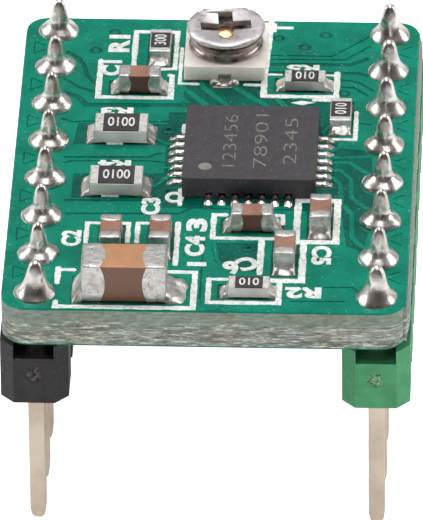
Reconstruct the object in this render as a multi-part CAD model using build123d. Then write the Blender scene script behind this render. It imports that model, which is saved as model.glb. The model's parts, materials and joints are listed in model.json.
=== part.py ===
from build123d import *
import os
from math import cos, radians, sin

# A stepper driver module: a small two-layer board on two rows of header pins, with a leadless
# driver chip, a trimmer potentiometer, current-sense resistors and other chip components on top.
# Millimetres, +Z up. The origin is on the plane of the pin tips, midway between the two pin rows
# and midway along them. +X is the side of the green header, +Y the side of the trimmer.

# ---------------------------------------------------------------- driving dimensions

PITCH = 2.54                      # standard pin pitch
PINS_PER_ROW = 8
ROW_SPACING = 5 * PITCH           # between the two pin rows, centre to centre
ROW_LENGTH = PINS_PER_ROW * PITCH

PIN_WIDTH = 0.60                  # square pin
PIN_TAIL = 6.00                   # below the header
PIN_RISE = 1.28                   # above the board
PIN_TIP_WIDTH = 0.28
PIN_SHOULDER_WIDTH = 0.50
PIN_TIP_LENGTH = 0.50
PIN_TOP_TAPER = 0.75

HEADER_HEIGHT = 2.54
HEADER_CHAMFER = 0.50             # upright corners of each cell
HEADER_GROOVE_WIDTH = 1.50        # under the board, so that solder has room
HEADER_GROOVE_DEPTH = 0.55

BOARD_WIDTH = 15.05               # along X
BOARD_LENGTH = 19.75              # along Y
BOARD_CENTRE = (-0.05, -0.15)
BOARD_THICKNESS = 1.60
BOARD_CORNER = 1.00
FILM = 0.05                       # copper land and solder mask, each side

HOLE_RADIUS = 0.50
HOLE_PLATING = 0.03
RING_RADIUS = 0.85
VIA_RADIUS = 0.16
VIA_PLATING = 0.04
MASK_GAP = 0.05                   # between a land and the mask round it
SOLDER_LIFT = 0.03                # solder under a component's terminals
FILLET_SAG = 0.42                 # 0.5 would be a straight slope
FILLET_TOE = 0.02
CONE_FOOT = 0.82                  # radius of the solder round a pin, at the board

CHIP_SIDE = 5.00
CHIP_HEIGHT = 0.85
CHIP_CENTRE = (1.36, 0.0)
CHIP_EDGE = 0.04
LEADS_PER_SIDE = 7
LEAD_PITCH = 0.50
LEAD_WIDTH = 0.25
LEAD_LENGTH = 0.50
LEAD_HEIGHT = 0.20
HEAT_PAD_SIDE = 3.15
DIE_SIDE = 2.30
DIE_HEIGHT = 0.28
LEAD_FILLET = 0.50                # solder outside the chip's side
LEAD_LAND = 0.60                  # land outside the chip's side

TRIMMER_CENTRE = (0.15, 7.06)
TRIMMER_WIDTH = 3.10
TRIMMER_LENGTH = 3.16
TRIMMER_BASE_HEIGHT = 0.64
ROTOR_TURN = 4.5                  # degrees, where the rotor was left
ROTOR_RADIUS = 1.49
ROTOR_PLATE = 0.20
ROTOR_TOP = 1.55                  # above the board
ROTOR_GAP = 0.20                  # between the drive plate and the wiper dish
ROTOR_FOLD = 1.14                 # axis to the outside of the fold
ROTOR_FOLD_WIDTH = 1.72
ROTOR_FOLD_WALL = 0.16
NOTCH_RADIUS = 0.11
DISH_RADIUS = 1.36
DISH_CROWN = 1.02                 # where the dish becomes flat
DISH_SHEET = 0.11
DISH_RIM = 0.79                   # its lowest edge, above the board
SLOT_WIDTH = 0.55
SLOT_LENGTH = 1.92
RIVET_RADIUS = 0.30
RIVET_HEAD_RADIUS = 0.46
RIVET_HEAD = 0.13
RUNNING_GAP = 0.03                # rotor on its rivet
TRACK_OUTER = 1.12
TRACK_INNER = 0.78
TRACK_DEPTH = 0.03
TRACK_OPENING = 70                # degrees, where the horseshoe is open
TERMINAL_SHEET = 0.10
TERMINAL_WIDTH = 0.50
WIPER_TERMINAL_RISE = 0.30
END_TERMINAL_OFFSET = 0.95
END_TERMINAL_FOOT = 0.55
END_TERMINAL_REACH = 0.85         # over the base to the track

# ---------------------------------------------------------------- levels

HEADER_BOTTOM = PIN_TAIL
BOARD_BOTTOM = HEADER_BOTTOM + HEADER_HEIGHT
BOARD_TOP = BOARD_BOTTOM + BOARD_THICKNESS
PIN_TOP = BOARD_TOP + PIN_RISE
SEAT = BOARD_TOP + SOLDER_LIFT
TRACK_BASE = BOARD_TOP + TRIMMER_BASE_HEIGHT - TRACK_DEPTH
DISH_CROWN_TOP = BOARD_TOP + ROTOR_TOP - ROTOR_PLATE - ROTOR_GAP
SIDES = {"left": -ROW_SPACING / 2, "right": ROW_SPACING / 2}

# ---------------------------------------------------------------- chip components


class Size:
    """A standard chip size: length, width, height and the length of its metal ends."""

    def __init__(self, length, width, height, band):
        self.length = length
        self.width = width
        self.height = height
        self.band = band


SENSE_SIZE = Size(2.00, 1.25, 0.55, 0.32)
RESISTOR_SIZE = Size(1.55, 0.80, 0.45, 0.26)
CAPACITOR_SIZE = Size(1.58, 0.80, 0.80, 0.38)
BULK_SIZE = Size(3.15, 1.60, 1.58, 0.73)

# name: size, centre, turned so that its length lies along Y
RESISTORS = {
    "sense_resistor_upper": (SENSE_SIZE, (-3.60, 1.70), False),
    "sense_resistor_lower": (SENSE_SIZE, (-3.62, -1.86), False),
    "resistor_rear_left": (RESISTOR_SIZE, (-2.38, 7.55), True),
    "resistor_rear_right": (RESISTOR_SIZE, (3.22, 5.22), False),
    "resistor_right": (RESISTOR_SIZE, (4.65, 2.97), True),
    "resistor_front": (RESISTOR_SIZE, (1.62, -8.73), False),
}
CAPACITORS = {
    "capacitor_rear_left": (CAPACITOR_SIZE, (-3.05, 4.90), False),
    "capacitor_chip_front": (CAPACITOR_SIZE, (1.58, -4.38), False),
    "capacitor_right": (CAPACITOR_SIZE, (4.11, -4.06), True),
    "capacitor_front_right": (CAPACITOR_SIZE, (2.86, -6.52), True),
    "capacitor_left": (CAPACITOR_SIZE, (-3.66, -5.64), True),
    "capacitor_middle": (CAPACITOR_SIZE, (-1.82, -5.60), True),
    "bulk_capacitor": (BULK_SIZE, (-3.00, -8.74), False),
}
LAND_EXTRA = 0.30                 # land beyond a component's end
SHEET = 0.03                      # metal on a component's ends
COATING = 0.05

VIAS = [
    (-1.82, 2.08),
    (-1.64, -2.12),
    (1.50, -5.79),
    (3.90, 8.73),
    (3.12, 7.88),
    (2.10, 8.48),
    (-4.85, 7.46),
    (-4.18, 8.73),
    (4.72, 4.72),
]

# ---------------------------------------------------------------- helpers


def block(size, centre=(0, 0), base=0.0):
    """A box of the given size whose underside is at the height base."""
    place = Pos(centre[0], centre[1], base)
    return place * Box(*size, align=(Align.CENTER, Align.CENTER, Align.MIN))


def disc(radius, height, centre=(0, 0), base=0.0):
    """An upright cylinder whose underside is at the height base."""
    place = Pos(centre[0], centre[1], base)
    return place * Cylinder(radius, height, align=(Align.CENTER, Align.CENTER, Align.MIN))


def softened(shape, radius):
    """The shape with all its edges rounded."""
    return fillet(shape.edges(), radius)


def placed(shape, centre, turned=False):
    """A shape made at the origin, along X, put at its place on the board."""
    turn = 90 if turned else 0
    return Pos(centre[0], centre[1], 0) * Rot(0, 0, turn) * shape


def row_points(side):
    """The pin centres of one row, from front to back."""
    first = -(PINS_PER_ROW - 1) / 2 * PITCH
    return [(SIDES[side], first + i * PITCH) for i in range(PINS_PER_ROW)]


def all_pins():
    return row_points("left") + row_points("right")


def group(shapes):
    """Separate pieces kept as separate solids in one node."""
    solids = [solid for shape in shapes for solid in shape.solids()]
    return Compound(children=solids)


# ---------------------------------------------------------------- board


def board_outline(height, base):
    face = RectangleRounded(BOARD_WIDTH, BOARD_LENGTH, BOARD_CORNER)
    return Pos(BOARD_CENTRE[0], BOARD_CENTRE[1], base) * extrude(face, height)


def board_core():
    core = board_outline(BOARD_THICKNESS - 2 * FILM, BOARD_BOTTOM + FILM)
    holes = [disc(HOLE_RADIUS, BOARD_THICKNESS, point, BOARD_BOTTOM) for point in all_pins()]
    holes += [disc(VIA_RADIUS, BOARD_THICKNESS, point, BOARD_BOTTOM) for point in VIAS]
    return core - holes


def component_lands():
    """Each land on the board's top, as (size x, size y, centre)."""
    lands = []
    for size, centre, turned in [*RESISTORS.values(), *CAPACITORS.values()]:
        length = size.band + LAND_EXTRA
        offset = size.length / 2 - size.band + length / 2
        for sign in (-1, 1):
            if turned:
                lands.append((size.width, length, (centre[0], centre[1] + sign * offset)))
            else:
                lands.append((length, size.width, (centre[0] + sign * offset, centre[1])))
    for x_size, y_size, centre in lead_lands():
        lands.append((x_size, y_size, centre))
    lands.append((HEAT_PAD_SIDE, HEAT_PAD_SIDE, CHIP_CENTRE))
    lands.extend(trimmer_lands())
    return lands


def lead_lands():
    length = LEAD_LENGTH + LEAD_LAND
    reach = CHIP_SIDE / 2 - LEAD_LENGTH + length / 2
    lands = []
    for i in range(LEADS_PER_SIDE):
        along = (i - (LEADS_PER_SIDE - 1) / 2) * LEAD_PITCH
        for sign in (-1, 1):
            x = CHIP_CENTRE[0] + sign * reach
            y = CHIP_CENTRE[1] + sign * reach
            lands.append((length, LEAD_WIDTH, (x, CHIP_CENTRE[1] + along)))
            lands.append((LEAD_WIDTH, length, (CHIP_CENTRE[0] + along, y)))
    return lands


def trimmer_lands():
    x, y = TRIMMER_CENTRE
    edge = TRIMMER_LENGTH / 2
    size = (0.9, 0.9)
    lands = [(*size, (x, y - edge))]
    for sign in (-1, 1):
        lands.append((*size, (x + sign * END_TERMINAL_OFFSET, y + edge)))
    return lands


def component_pads():
    pads = [block((w, h, FILM), centre, BOARD_TOP - FILM) for w, h, centre in component_lands()]
    return group(pads)


def solder_mask_top():
    mask = board_outline(FILM, BOARD_TOP - FILM)
    depth = 2 * FILM
    base = BOARD_TOP - 1.5 * FILM
    openings = [disc(RING_RADIUS, depth, point, base) for point in all_pins()]
    openings += [disc(VIA_RADIUS + VIA_PLATING, depth, point, base) for point in VIAS]
    for w, h, centre in component_lands():
        openings.append(block((w + 2 * MASK_GAP, h + 2 * MASK_GAP, depth), centre, base))
    return mask - openings


def solder_mask_bottom():
    mask = board_outline(FILM, BOARD_BOTTOM)
    depth = 2 * FILM
    base = BOARD_BOTTOM - 0.5 * FILM
    openings = [disc(RING_RADIUS, depth, point, base) for point in all_pins()]
    openings += [disc(VIA_RADIUS + VIA_PLATING, depth, point, base) for point in VIAS]
    return mask - openings


def eyelet(point, radius, plating, ring):
    """Plating of one hole, with its ring on each face of the board."""
    barrel = disc(radius, BOARD_THICKNESS, point, BOARD_BOTTOM)
    rings = [disc(ring, FILM, point, BOARD_BOTTOM), disc(ring, FILM, point, BOARD_TOP - FILM)]
    return barrel + rings - disc(radius - plating, BOARD_THICKNESS, point, BOARD_BOTTOM)


def plated_holes(side):
    return group([eyelet(p, HOLE_RADIUS, HOLE_PLATING, RING_RADIUS) for p in row_points(side)])


def vias():
    ring = VIA_RADIUS + VIA_PLATING
    return group([eyelet(p, VIA_RADIUS, VIA_PLATING, ring) for p in VIAS])


# ---------------------------------------------------------------- pin headers


def pin_section(width, height):
    return Pos(0, 0, height) * Rectangle(width, width)


def pin():
    """One square pin on the origin's axis, its blunt lower end on the ground plane."""
    straight = PIN_TOP - PIN_TIP_LENGTH - PIN_TOP_TAPER
    body = block((PIN_WIDTH, PIN_WIDTH, straight), base=PIN_TIP_LENGTH)
    lower_end = [
        pin_section(PIN_TIP_WIDTH, 0),
        pin_section(PIN_SHOULDER_WIDTH, 0.4 * PIN_TIP_LENGTH),
        pin_section(PIN_WIDTH, PIN_TIP_LENGTH),
    ]
    upper_end = [
        pin_section(PIN_WIDTH, PIN_TOP - PIN_TOP_TAPER),
        pin_section(PIN_TIP_WIDTH, PIN_TOP),
    ]
    return body + loft(lower_end, ruled=True) + loft(upper_end, ruled=True)


def pins(side):
    return group([placed(pin(), point) for point in row_points(side)])


def header(side):
    """The insulator: cells with chamfered upright corners in one moulding."""
    cell = block((PITCH, PITCH, HEADER_HEIGHT), base=HEADER_BOTTOM)
    cell = chamfer(cell.edges().filter_by(Axis.Z), HEADER_CHAMFER)
    strip = [placed(cell, point) for point in row_points(side)]
    body = strip[0].fuse(*strip[1:])
    groove_size = (HEADER_GROOVE_WIDTH, ROW_LENGTH, HEADER_GROOVE_DEPTH)
    body -= block(groove_size, (SIDES[side], 0), BOARD_BOTTOM - HEADER_GROOVE_DEPTH)
    hole_size = (PIN_WIDTH, PIN_WIDTH, HEADER_HEIGHT)
    body -= [block(hole_size, point, HEADER_BOTTOM) for point in row_points(side)]
    return body


def pin_solder_cone():
    """Solder of one pin: the filled barrel and the hollow-sided cone that climbs the pin."""
    barrel = HOLE_RADIUS - HOLE_PLATING
    peak = PIN_RISE + 0.09
    flank = Spline(
        (CONE_FOOT, 0, BOARD_TOP),
        (0.62, 0, BOARD_TOP + 0.16),
        (0.50, 0, BOARD_TOP + 0.38),
        (0.44, 0, BOARD_TOP + 0.60),
        (0.36, 0, BOARD_TOP + 0.90),
        (0.22, 0, BOARD_TOP + 1.25),
        (0, 0, BOARD_TOP + peak),
    )
    inside = Polyline(
        (0, 0, BOARD_TOP + peak),
        (0, 0, BOARD_BOTTOM),
        (barrel, 0, BOARD_BOTTOM),
        (barrel, 0, BOARD_TOP),
        (CONE_FOOT, 0, BOARD_TOP),
    )
    section = make_face(flank.edges() + inside.edges())
    return revolve(section, Axis.Z, 360) - pin()


def pin_solder(side):
    cone = pin_solder_cone()
    return group([placed(cone, point) for point in row_points(side)])


# ---------------------------------------------------------------- driver chip


def lead_boxes():
    """The chip's leads, flush with its underside and sides."""
    reach = CHIP_SIDE / 2 - LEAD_LENGTH / 2
    leads = []
    for i in range(LEADS_PER_SIDE):
        along = (i - (LEADS_PER_SIDE - 1) / 2) * LEAD_PITCH
        for sign in (-1, 1):
            x = CHIP_CENTRE[0] + sign * reach
            y = CHIP_CENTRE[1] + sign * reach
            size_x = (LEAD_LENGTH, LEAD_WIDTH, LEAD_HEIGHT)
            size_y = (LEAD_WIDTH, LEAD_LENGTH, LEAD_HEIGHT)
            leads.append(block(size_x, (x, CHIP_CENTRE[1] + along), SEAT))
            leads.append(block(size_y, (CHIP_CENTRE[0] + along, y), SEAT))
    return leads


def driver_leads():
    return group(lead_boxes())


def driver_heat_pad():
    return block((HEAT_PAD_SIDE, HEAT_PAD_SIDE, LEAD_HEIGHT), CHIP_CENTRE, SEAT)


def driver_die():
    return block((DIE_SIDE, DIE_SIDE, DIE_HEIGHT), CHIP_CENTRE, SEAT + LEAD_HEIGHT)


def driver_mould():
    body = block((CHIP_SIDE, CHIP_SIDE, CHIP_HEIGHT), CHIP_CENTRE, SEAT)
    top_edges = body.faces().sort_by(Axis.Z)[-1].edges()
    body = chamfer(top_edges, CHIP_EDGE)
    return body - lead_boxes() - driver_heat_pad() - driver_die()


def fillet_wedge(length, width, height):
    """A hollow-sided solder fillet that falls from x = 0, height high, to x = length."""
    middle = (FILLET_SAG * length, SEAT + FILLET_SAG * height)
    curve = ThreePointArc((0, SEAT + height), middle, (length, SEAT))
    foot = length + FILLET_TOE
    sides = Polyline((length, SEAT), (foot, BOARD_TOP), (0, BOARD_TOP), (0, SEAT + height))
    section = Plane.XZ * make_face(curve.edges() + sides.edges())
    return extrude(section, width / 2, both=True)


def driver_solder():
    """Solder under each lead and climbing its end, and the sheet under the heat pad."""
    joints = []
    wedge = fillet_wedge(LEAD_FILLET, LEAD_WIDTH, LEAD_HEIGHT)
    under = block((LEAD_LENGTH, LEAD_WIDTH, SOLDER_LIFT), (-LEAD_LENGTH / 2, 0), BOARD_TOP)
    joint = wedge + under
    for quarter in range(4):
        for i in range(LEADS_PER_SIDE):
            along = (i - (LEADS_PER_SIDE - 1) / 2) * LEAD_PITCH
            spot = Pos(*CHIP_CENTRE, 0) * Rot(0, 0, 90 * quarter) * Pos(CHIP_SIDE / 2, along, 0)
            joints.append(spot * joint)
    joints.append(block((HEAT_PAD_SIDE, HEAT_PAD_SIDE, SOLDER_LIFT), CHIP_CENTRE, BOARD_TOP))
    return group(joints)


# ---------------------------------------------------------------- trimmer


def terminal_strip(length_under, rise):
    """A bent strip: along the underside from x = -length_under to the wall, then up the wall."""
    under = block(
        (length_under, TERMINAL_WIDTH, TERMINAL_SHEET),
        (-length_under / 2, 0),
        SEAT,
    )
    wall = block((TERMINAL_SHEET, TERMINAL_WIDTH, rise), (TERMINAL_SHEET / 2, 0), SEAT)
    return under + wall


def trimmer_wiper_terminal():
    """From the rivet's foot under the base to the middle of the front face."""
    strip = terminal_strip(TRIMMER_LENGTH / 2, WIPER_TERMINAL_RISE)
    place = Pos(TRIMMER_CENTRE[0], TRIMMER_CENTRE[1] - TRIMMER_LENGTH / 2, 0) * Rot(0, 0, -90)
    ring = disc(RIVET_RADIUS + TERMINAL_SHEET, TERMINAL_SHEET, TRIMMER_CENTRE, SEAT)
    return place * strip + ring - disc(RIVET_RADIUS, TERMINAL_SHEET, TRIMMER_CENTRE, SEAT)


def trimmer_end_terminals():
    strips = []
    strip = terminal_strip(END_TERMINAL_FOOT, TRIMMER_BASE_HEIGHT - SOLDER_LIFT)
    over_size = (END_TERMINAL_REACH, TERMINAL_WIDTH, TRACK_DEPTH)
    over = block(over_size, (-END_TERMINAL_REACH / 2, 0), TRACK_BASE)
    for sign in (-1, 1):
        x = TRIMMER_CENTRE[0] + sign * END_TERMINAL_OFFSET
        place = Pos(x, TRIMMER_CENTRE[1] + TRIMMER_LENGTH / 2, 0) * Rot(0, 0, 90)
        strips.append(place * (strip + over))
    return group(strips)


def trimmer_track():
    """The horseshoe of resistive film, flush in the top of the base, open towards the back."""
    ring = disc(TRACK_OUTER, TRACK_DEPTH, base=TRACK_BASE)
    ring -= disc(TRACK_INNER, TRACK_DEPTH, base=TRACK_BASE)
    reach = 2 * TRACK_OUTER
    half = radians(TRACK_OPENING / 2)
    x, y = reach * sin(half), reach * cos(half)
    outline = Polyline((0, 0), (-x, y), (x, y), close=True)
    wedge = Pos(0, 0, TRACK_BASE) * extrude(make_face(outline.edges()), TRACK_DEPTH)
    return placed(ring - wedge, TRIMMER_CENTRE) - trimmer_end_terminals()


def trimmer_base():
    size = (TRIMMER_WIDTH, TRIMMER_LENGTH, TRIMMER_BASE_HEIGHT - SOLDER_LIFT)
    body = block(size, TRIMMER_CENTRE, SEAT)
    body = fillet(body.edges().filter_by(Axis.Z), 0.10)
    body -= disc(RIVET_RADIUS, TRIMMER_BASE_HEIGHT, TRIMMER_CENTRE, SEAT)
    return body - trimmer_wiper_terminal() - trimmer_end_terminals() - trimmer_track()


def trimmer_rivet():
    """Brass: a shank through base and dish, with a domed head over the dish."""
    seat = DISH_CROWN_TOP + RUNNING_GAP
    shank = disc(RIVET_RADIUS, seat - SEAT, TRIMMER_CENTRE, SEAT)
    head = disc(RIVET_HEAD_RADIUS, RIVET_HEAD, TRIMMER_CENTRE, seat)
    head = fillet(head.edges().group_by(Axis.Z)[-1], 0.7 * RIVET_HEAD)
    return shank + head


def slot_cross(height, base):
    arm = block((SLOT_LENGTH, SLOT_WIDTH, height), base=base)
    return arm + Rot(0, 0, 90) * arm


def wiper_dish():
    """Sheet that slopes down from a flat crown to an open rim, with the wiper's dimple."""
    crown = DISH_CROWN_TOP
    rim = BOARD_TOP + DISH_RIM
    profile = Polyline(
        (RIVET_RADIUS + RUNNING_GAP, 0, crown),
        (DISH_CROWN, 0, crown),
        (DISH_RADIUS, 0, rim + DISH_SHEET),
        (DISH_RADIUS, 0, rim),
        (DISH_CROWN - DISH_SHEET / 2, 0, crown - DISH_SHEET),
        (RIVET_RADIUS + RUNNING_GAP, 0, crown - DISH_SHEET),
        close=True,
    )
    dish = revolve(make_face(profile.edges()), Axis.Z, 360)
    foot = BOARD_TOP + TRIMMER_BASE_HEIGHT + RUNNING_GAP
    dimple = disc(0.14, crown - DISH_SHEET / 2 - foot, (0, -(TRACK_OUTER + TRACK_INNER) / 2), foot)
    dimple = fillet(dimple.edges().group_by(Axis.Z)[0], 0.10)
    return dish + dimple


def trimmer_rotor():
    """One folded sheet: slotted drive plate above, fold at the back, wiper dish below."""
    top = BOARD_TOP + ROTOR_TOP
    plate = disc(ROTOR_RADIUS, ROTOR_PLATE, base=top - ROTOR_PLATE)
    plate = fillet(plate.edges().group_by(Axis.Z)[-1], 0.07)
    plate -= slot_cross(ROTOR_PLATE, top - ROTOR_PLATE)
    body = plate + wiper_dish()
    behind = block((2 * ROTOR_RADIUS, 1.0, 2.0), (0, ROTOR_FOLD + 0.5), BOARD_TOP)
    body -= behind
    wall_height = ROTOR_PLATE + ROTOR_GAP + DISH_SHEET
    wall = block(
        (ROTOR_FOLD_WIDTH, ROTOR_FOLD_WALL, wall_height),
        (0, ROTOR_FOLD - ROTOR_FOLD_WALL / 2),
        top - wall_height,
    )
    rounded = wall.edges().filter_by(Axis.X).group_by(Axis.Y)[-1]
    body += fillet(rounded, 0.07)
    for sign in (-1, 1):
        corner = (sign * (ROTOR_FOLD_WIDTH / 2 + NOTCH_RADIUS), ROTOR_FOLD - 0.02)
        body -= disc(NOTCH_RADIUS, 2.0, corner, BOARD_TOP)
    return placed(Rot(0, 0, ROTOR_TURN) * body, TRIMMER_CENTRE)


def trimmer_solder():
    """Under each terminal and up its outer face."""
    wedge = fillet_wedge(0.26, TERMINAL_WIDTH + 0.2, 0.26)
    under = block((0.40, TERMINAL_WIDTH, SOLDER_LIFT), (-0.20 + TERMINAL_SHEET, 0), BOARD_TOP)
    joint = Pos(TERMINAL_SHEET, 0, 0) * wedge + under
    x, y = TRIMMER_CENTRE
    edge = TRIMMER_LENGTH / 2
    joints = [Pos(x, y - edge, 0) * Rot(0, 0, -90) * joint]
    for sign in (-1, 1):
        joints.append(Pos(x + sign * END_TERMINAL_OFFSET, y + edge, 0) * Rot(0, 0, 90) * joint)
    return group(joints)


# ---------------------------------------------------------------- chip resistors


def resistor_substrate(size):
    core = (size.length - 2 * SHEET, size.width, size.height - 2 * SHEET)
    return block(core, base=SEAT + SHEET)


def resistor_terminals(size):
    """Sheet wrapped round the top, end and underside, but not the sides."""
    wrap = block((size.length, size.width - 0.04, size.height), base=SEAT)
    wrap = fillet(wrap.edges().filter_by(Axis.Y), 0.05)
    wrap -= resistor_substrate(size)
    middle = block((size.length - 2 * size.band, size.width, size.height), base=SEAT)
    return group([wrap - middle])


def resistor_coating(size):
    """The dark overglaze between the terminals."""
    film = (size.length - 2 * size.band, size.width - 0.08, COATING)
    slab = block(film, base=SEAT + size.height - SHEET)
    return fillet(slab.edges().group_by(Axis.Z)[-1], 0.02)


# ---------------------------------------------------------------- chip capacitors


def capacitor_body(size):
    core = (size.length - 2 * SHEET, size.width - 2 * SHEET, size.height - 2 * SHEET)
    return softened(block(core, base=SEAT + SHEET), 0.05)


def capacitor_caps(size):
    """Cups of metal over both ends."""
    outside = softened(block((size.length, size.width, size.height), base=SEAT), 0.08)
    middle = block((size.length - 2 * size.band, 2 * size.width, 2 * size.height), base=BOARD_TOP)
    return group([outside - middle - capacitor_body(size)])


def passive_joint(size):
    """Solder under one metal end and climbing it, at the +X end of a component at the origin."""
    share = 0.55 if size.height > 0.6 else 0.65
    wedge = fillet_wedge(LAND_EXTRA - 0.04, size.width - 0.06, share * size.height)
    under = block((size.band, size.width - 0.06, SOLDER_LIFT), (-size.band / 2, 0), BOARD_TOP)
    return wedge + under


def passive_solder():
    joints = []
    for size, centre, turned in [*RESISTORS.values(), *CAPACITORS.values()]:
        joint = Pos(size.length / 2, 0, 0) * passive_joint(size)
        for half_turn in (0, 180):
            joints.append(placed(Rot(0, 0, half_turn) * joint, centre, turned))
    return group(joints)


# ---------------------------------------------------------------- all nodes


def all_nodes():
    nodes = {
        "board_core": board_core(),
        "solder_mask_top": solder_mask_top(),
        "solder_mask_bottom": solder_mask_bottom(),
        "component_pads": component_pads(),
        "vias": vias(),
        "driver_mould": driver_mould(),
        "driver_leads": driver_leads(),
        "driver_heat_pad": driver_heat_pad(),
        "driver_die": driver_die(),
        "driver_solder": driver_solder(),
        "trimmer_base": trimmer_base(),
        "trimmer_track": trimmer_track(),
        "trimmer_wiper_terminal": trimmer_wiper_terminal(),
        "trimmer_end_terminals": trimmer_end_terminals(),
        "trimmer_rivet": trimmer_rivet(),
        "trimmer_rotor": trimmer_rotor(),
        "trimmer_solder": trimmer_solder(),
        "passive_solder": passive_solder(),
    }
    for side in SIDES:
        nodes[f"header_{side}"] = header(side)
        nodes[f"pins_{side}"] = pins(side)
        nodes[f"plated_holes_{side}"] = plated_holes(side)
        nodes[f"pin_solder_{side}"] = pin_solder(side)
    for name, (size, centre, turned) in RESISTORS.items():
        nodes[f"{name}_substrate"] = placed(resistor_substrate(size), centre, turned)
        nodes[f"{name}_coating"] = placed(resistor_coating(size), centre, turned)
        nodes[f"{name}_terminals"] = placed(resistor_terminals(size), centre, turned)
    for name, (size, centre, turned) in CAPACITORS.items():
        nodes[f"{name}_body"] = placed(capacitor_body(size), centre, turned)
        nodes[f"{name}_caps"] = placed(capacitor_caps(size), centre, turned)
    return nodes


def main():
    os.makedirs("parts", exist_ok=True)
    for name, shape in all_nodes().items():
        export_step(shape, f"parts/{name}.step")
        print(name, len(shape.solids()))


main()
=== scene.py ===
"""Looks of the stepper driver module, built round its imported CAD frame.

Lengths in this file are millimetres, as on a circuit board's drawing; put() turns them into metres.
The camera, the lights and the floor are in metres.
"""
import json
import math
import random

import bmesh
import bpy
from mathutils import Matrix, Vector, noise


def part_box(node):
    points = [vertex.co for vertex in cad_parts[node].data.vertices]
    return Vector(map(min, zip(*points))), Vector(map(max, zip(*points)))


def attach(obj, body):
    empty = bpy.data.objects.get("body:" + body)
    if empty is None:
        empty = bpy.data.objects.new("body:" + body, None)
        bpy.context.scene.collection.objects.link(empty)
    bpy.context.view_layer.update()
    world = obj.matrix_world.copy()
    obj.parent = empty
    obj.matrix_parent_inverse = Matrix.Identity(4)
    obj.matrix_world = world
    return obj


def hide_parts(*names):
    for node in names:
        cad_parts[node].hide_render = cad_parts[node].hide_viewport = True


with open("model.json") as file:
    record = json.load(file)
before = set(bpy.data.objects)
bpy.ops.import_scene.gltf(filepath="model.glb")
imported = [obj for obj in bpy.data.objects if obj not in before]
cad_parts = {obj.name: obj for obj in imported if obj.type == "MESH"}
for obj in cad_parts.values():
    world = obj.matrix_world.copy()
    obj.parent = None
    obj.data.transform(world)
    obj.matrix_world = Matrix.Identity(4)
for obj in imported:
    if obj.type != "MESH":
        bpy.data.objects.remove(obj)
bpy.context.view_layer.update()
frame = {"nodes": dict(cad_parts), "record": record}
nodes = frame["nodes"]
dice = random.Random(11)

MM = 0.001
MODULE = "module"
ROTOR = "rotor"
SIDES = ("left", "right")


def box_mm(node):
    """Lowest and highest corner of a CAD node, in millimetres."""
    low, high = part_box(node)
    return low / MM, high / MM


def middle_mm(node):
    """Middle of a CAD node's box, in millimetres."""
    low, high = box_mm(node)
    return (low + high) / 2


BOARD_LOW, BOARD_HIGH = box_mm("board_core")
BOARD_TOP = box_mm("solder_mask_top")[1].z
BOARD_BOTTOM = box_mm("solder_mask_bottom")[0].z
TRACE_RISE = 0.022                # copper under the solder mask lifts it this much
INK_RISE = 0.016                  # legend ink over that


# ---- meshes


class Shape:
    """Vertices and faces in millimetres, gathered from several closed pieces."""

    def __init__(self, *solids):
        self.points = []
        self.faces = []
        for points, faces in solids:
            self.add(points, faces)

    def add(self, points, faces):
        start = len(self.points)
        self.points.extend(points)
        self.faces.extend([[start + i for i in face] for face in faces])

    def put(self, name, material, body=MODULE, smooth=35, replaces=(), slot=None):
        """The shape as a Blender piece in metres, riding on a body."""
        mesh = bpy.data.meshes.new(name)
        mesh.from_pydata([Vector(p) * MM for p in self.points], [], self.faces)
        tidy_mesh(mesh)
        mesh.materials.append(material)
        piece = linked(name, mesh)
        if smooth:
            shade(piece, smooth)
        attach(piece, body)
        if replaces:
            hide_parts(*replaces)
        return piece


def linked(name, data):
    """A new object in the scene."""
    made = bpy.data.objects.new(name, data)
    bpy.context.scene.collection.objects.link(made)
    return made


def tidy_mesh(mesh, merge=0.0005 * MM):
    """Merges points that are closer than merge and turns every face outwards."""
    work = bmesh.new()
    work.from_mesh(mesh)
    if merge:
        bmesh.ops.remove_doubles(work, verts=work.verts, dist=merge)
    bmesh.ops.recalc_face_normals(work, faces=work.faces)
    work.to_mesh(mesh)
    work.free()
    mesh.update()


def wave(x, y, z=0.0):
    """Smooth noise between about -1 and 1."""
    return noise.noise(Vector((x, y, z)))


def bell(x, middle, width):
    """A smooth hump of height 1 round a middle."""
    return math.exp(-((x - middle) / width) ** 2)


def directions(steps):
    """Unit vectors all the way round, as (x, y)."""
    turns = [2 * math.pi * i / steps for i in range(steps)]
    return [(math.cos(t), math.sin(t)) for t in turns]


def turned(x, y, degrees, centre):
    """A point turned about the origin, then moved with it to a centre."""
    c, s = math.cos(math.radians(degrees)), math.sin(math.radians(degrees))
    return centre[0] + c * x - s * y, centre[1] + s * x + c * y


def shade(piece, degrees):
    """Smooth shading except across edges sharper than the angle."""
    mesh = piece.data
    mesh.polygons.foreach_set("use_smooth", [True] * len(mesh.polygons))
    mesh.set_sharp_from_angle(angle=math.radians(degrees))


def loft(rings, cap_first=True, cap_last=True):
    """Faces that join rings of equally many points, as (points, faces)."""
    count = len(rings[0])
    points = [p for ring in rings for p in ring]
    faces = []
    for level in range(len(rings) - 1):
        for i in range(count):
            j = (i + 1) % count
            a, b = level * count, (level + 1) * count
            faces.append([a + i, a + j, b + j, b + i])
    if cap_first:
        faces.append(list(reversed(range(count))))
    if cap_last:
        last = (len(rings) - 1) * count
        faces.append([last + i for i in range(count)])
    return points, faces


def prism(outline, low, high, draft=0.0):
    """An outline, anticlockwise from above, raised from low to high with a sloping rim."""
    rings = [[(x, y, low) for x, y in outline], [(x, y, high - draft) for x, y in outline]]
    if draft:
        rings.append([(x, y, high) for x, y in inset(outline, draft)])
    return loft(rings)


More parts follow.
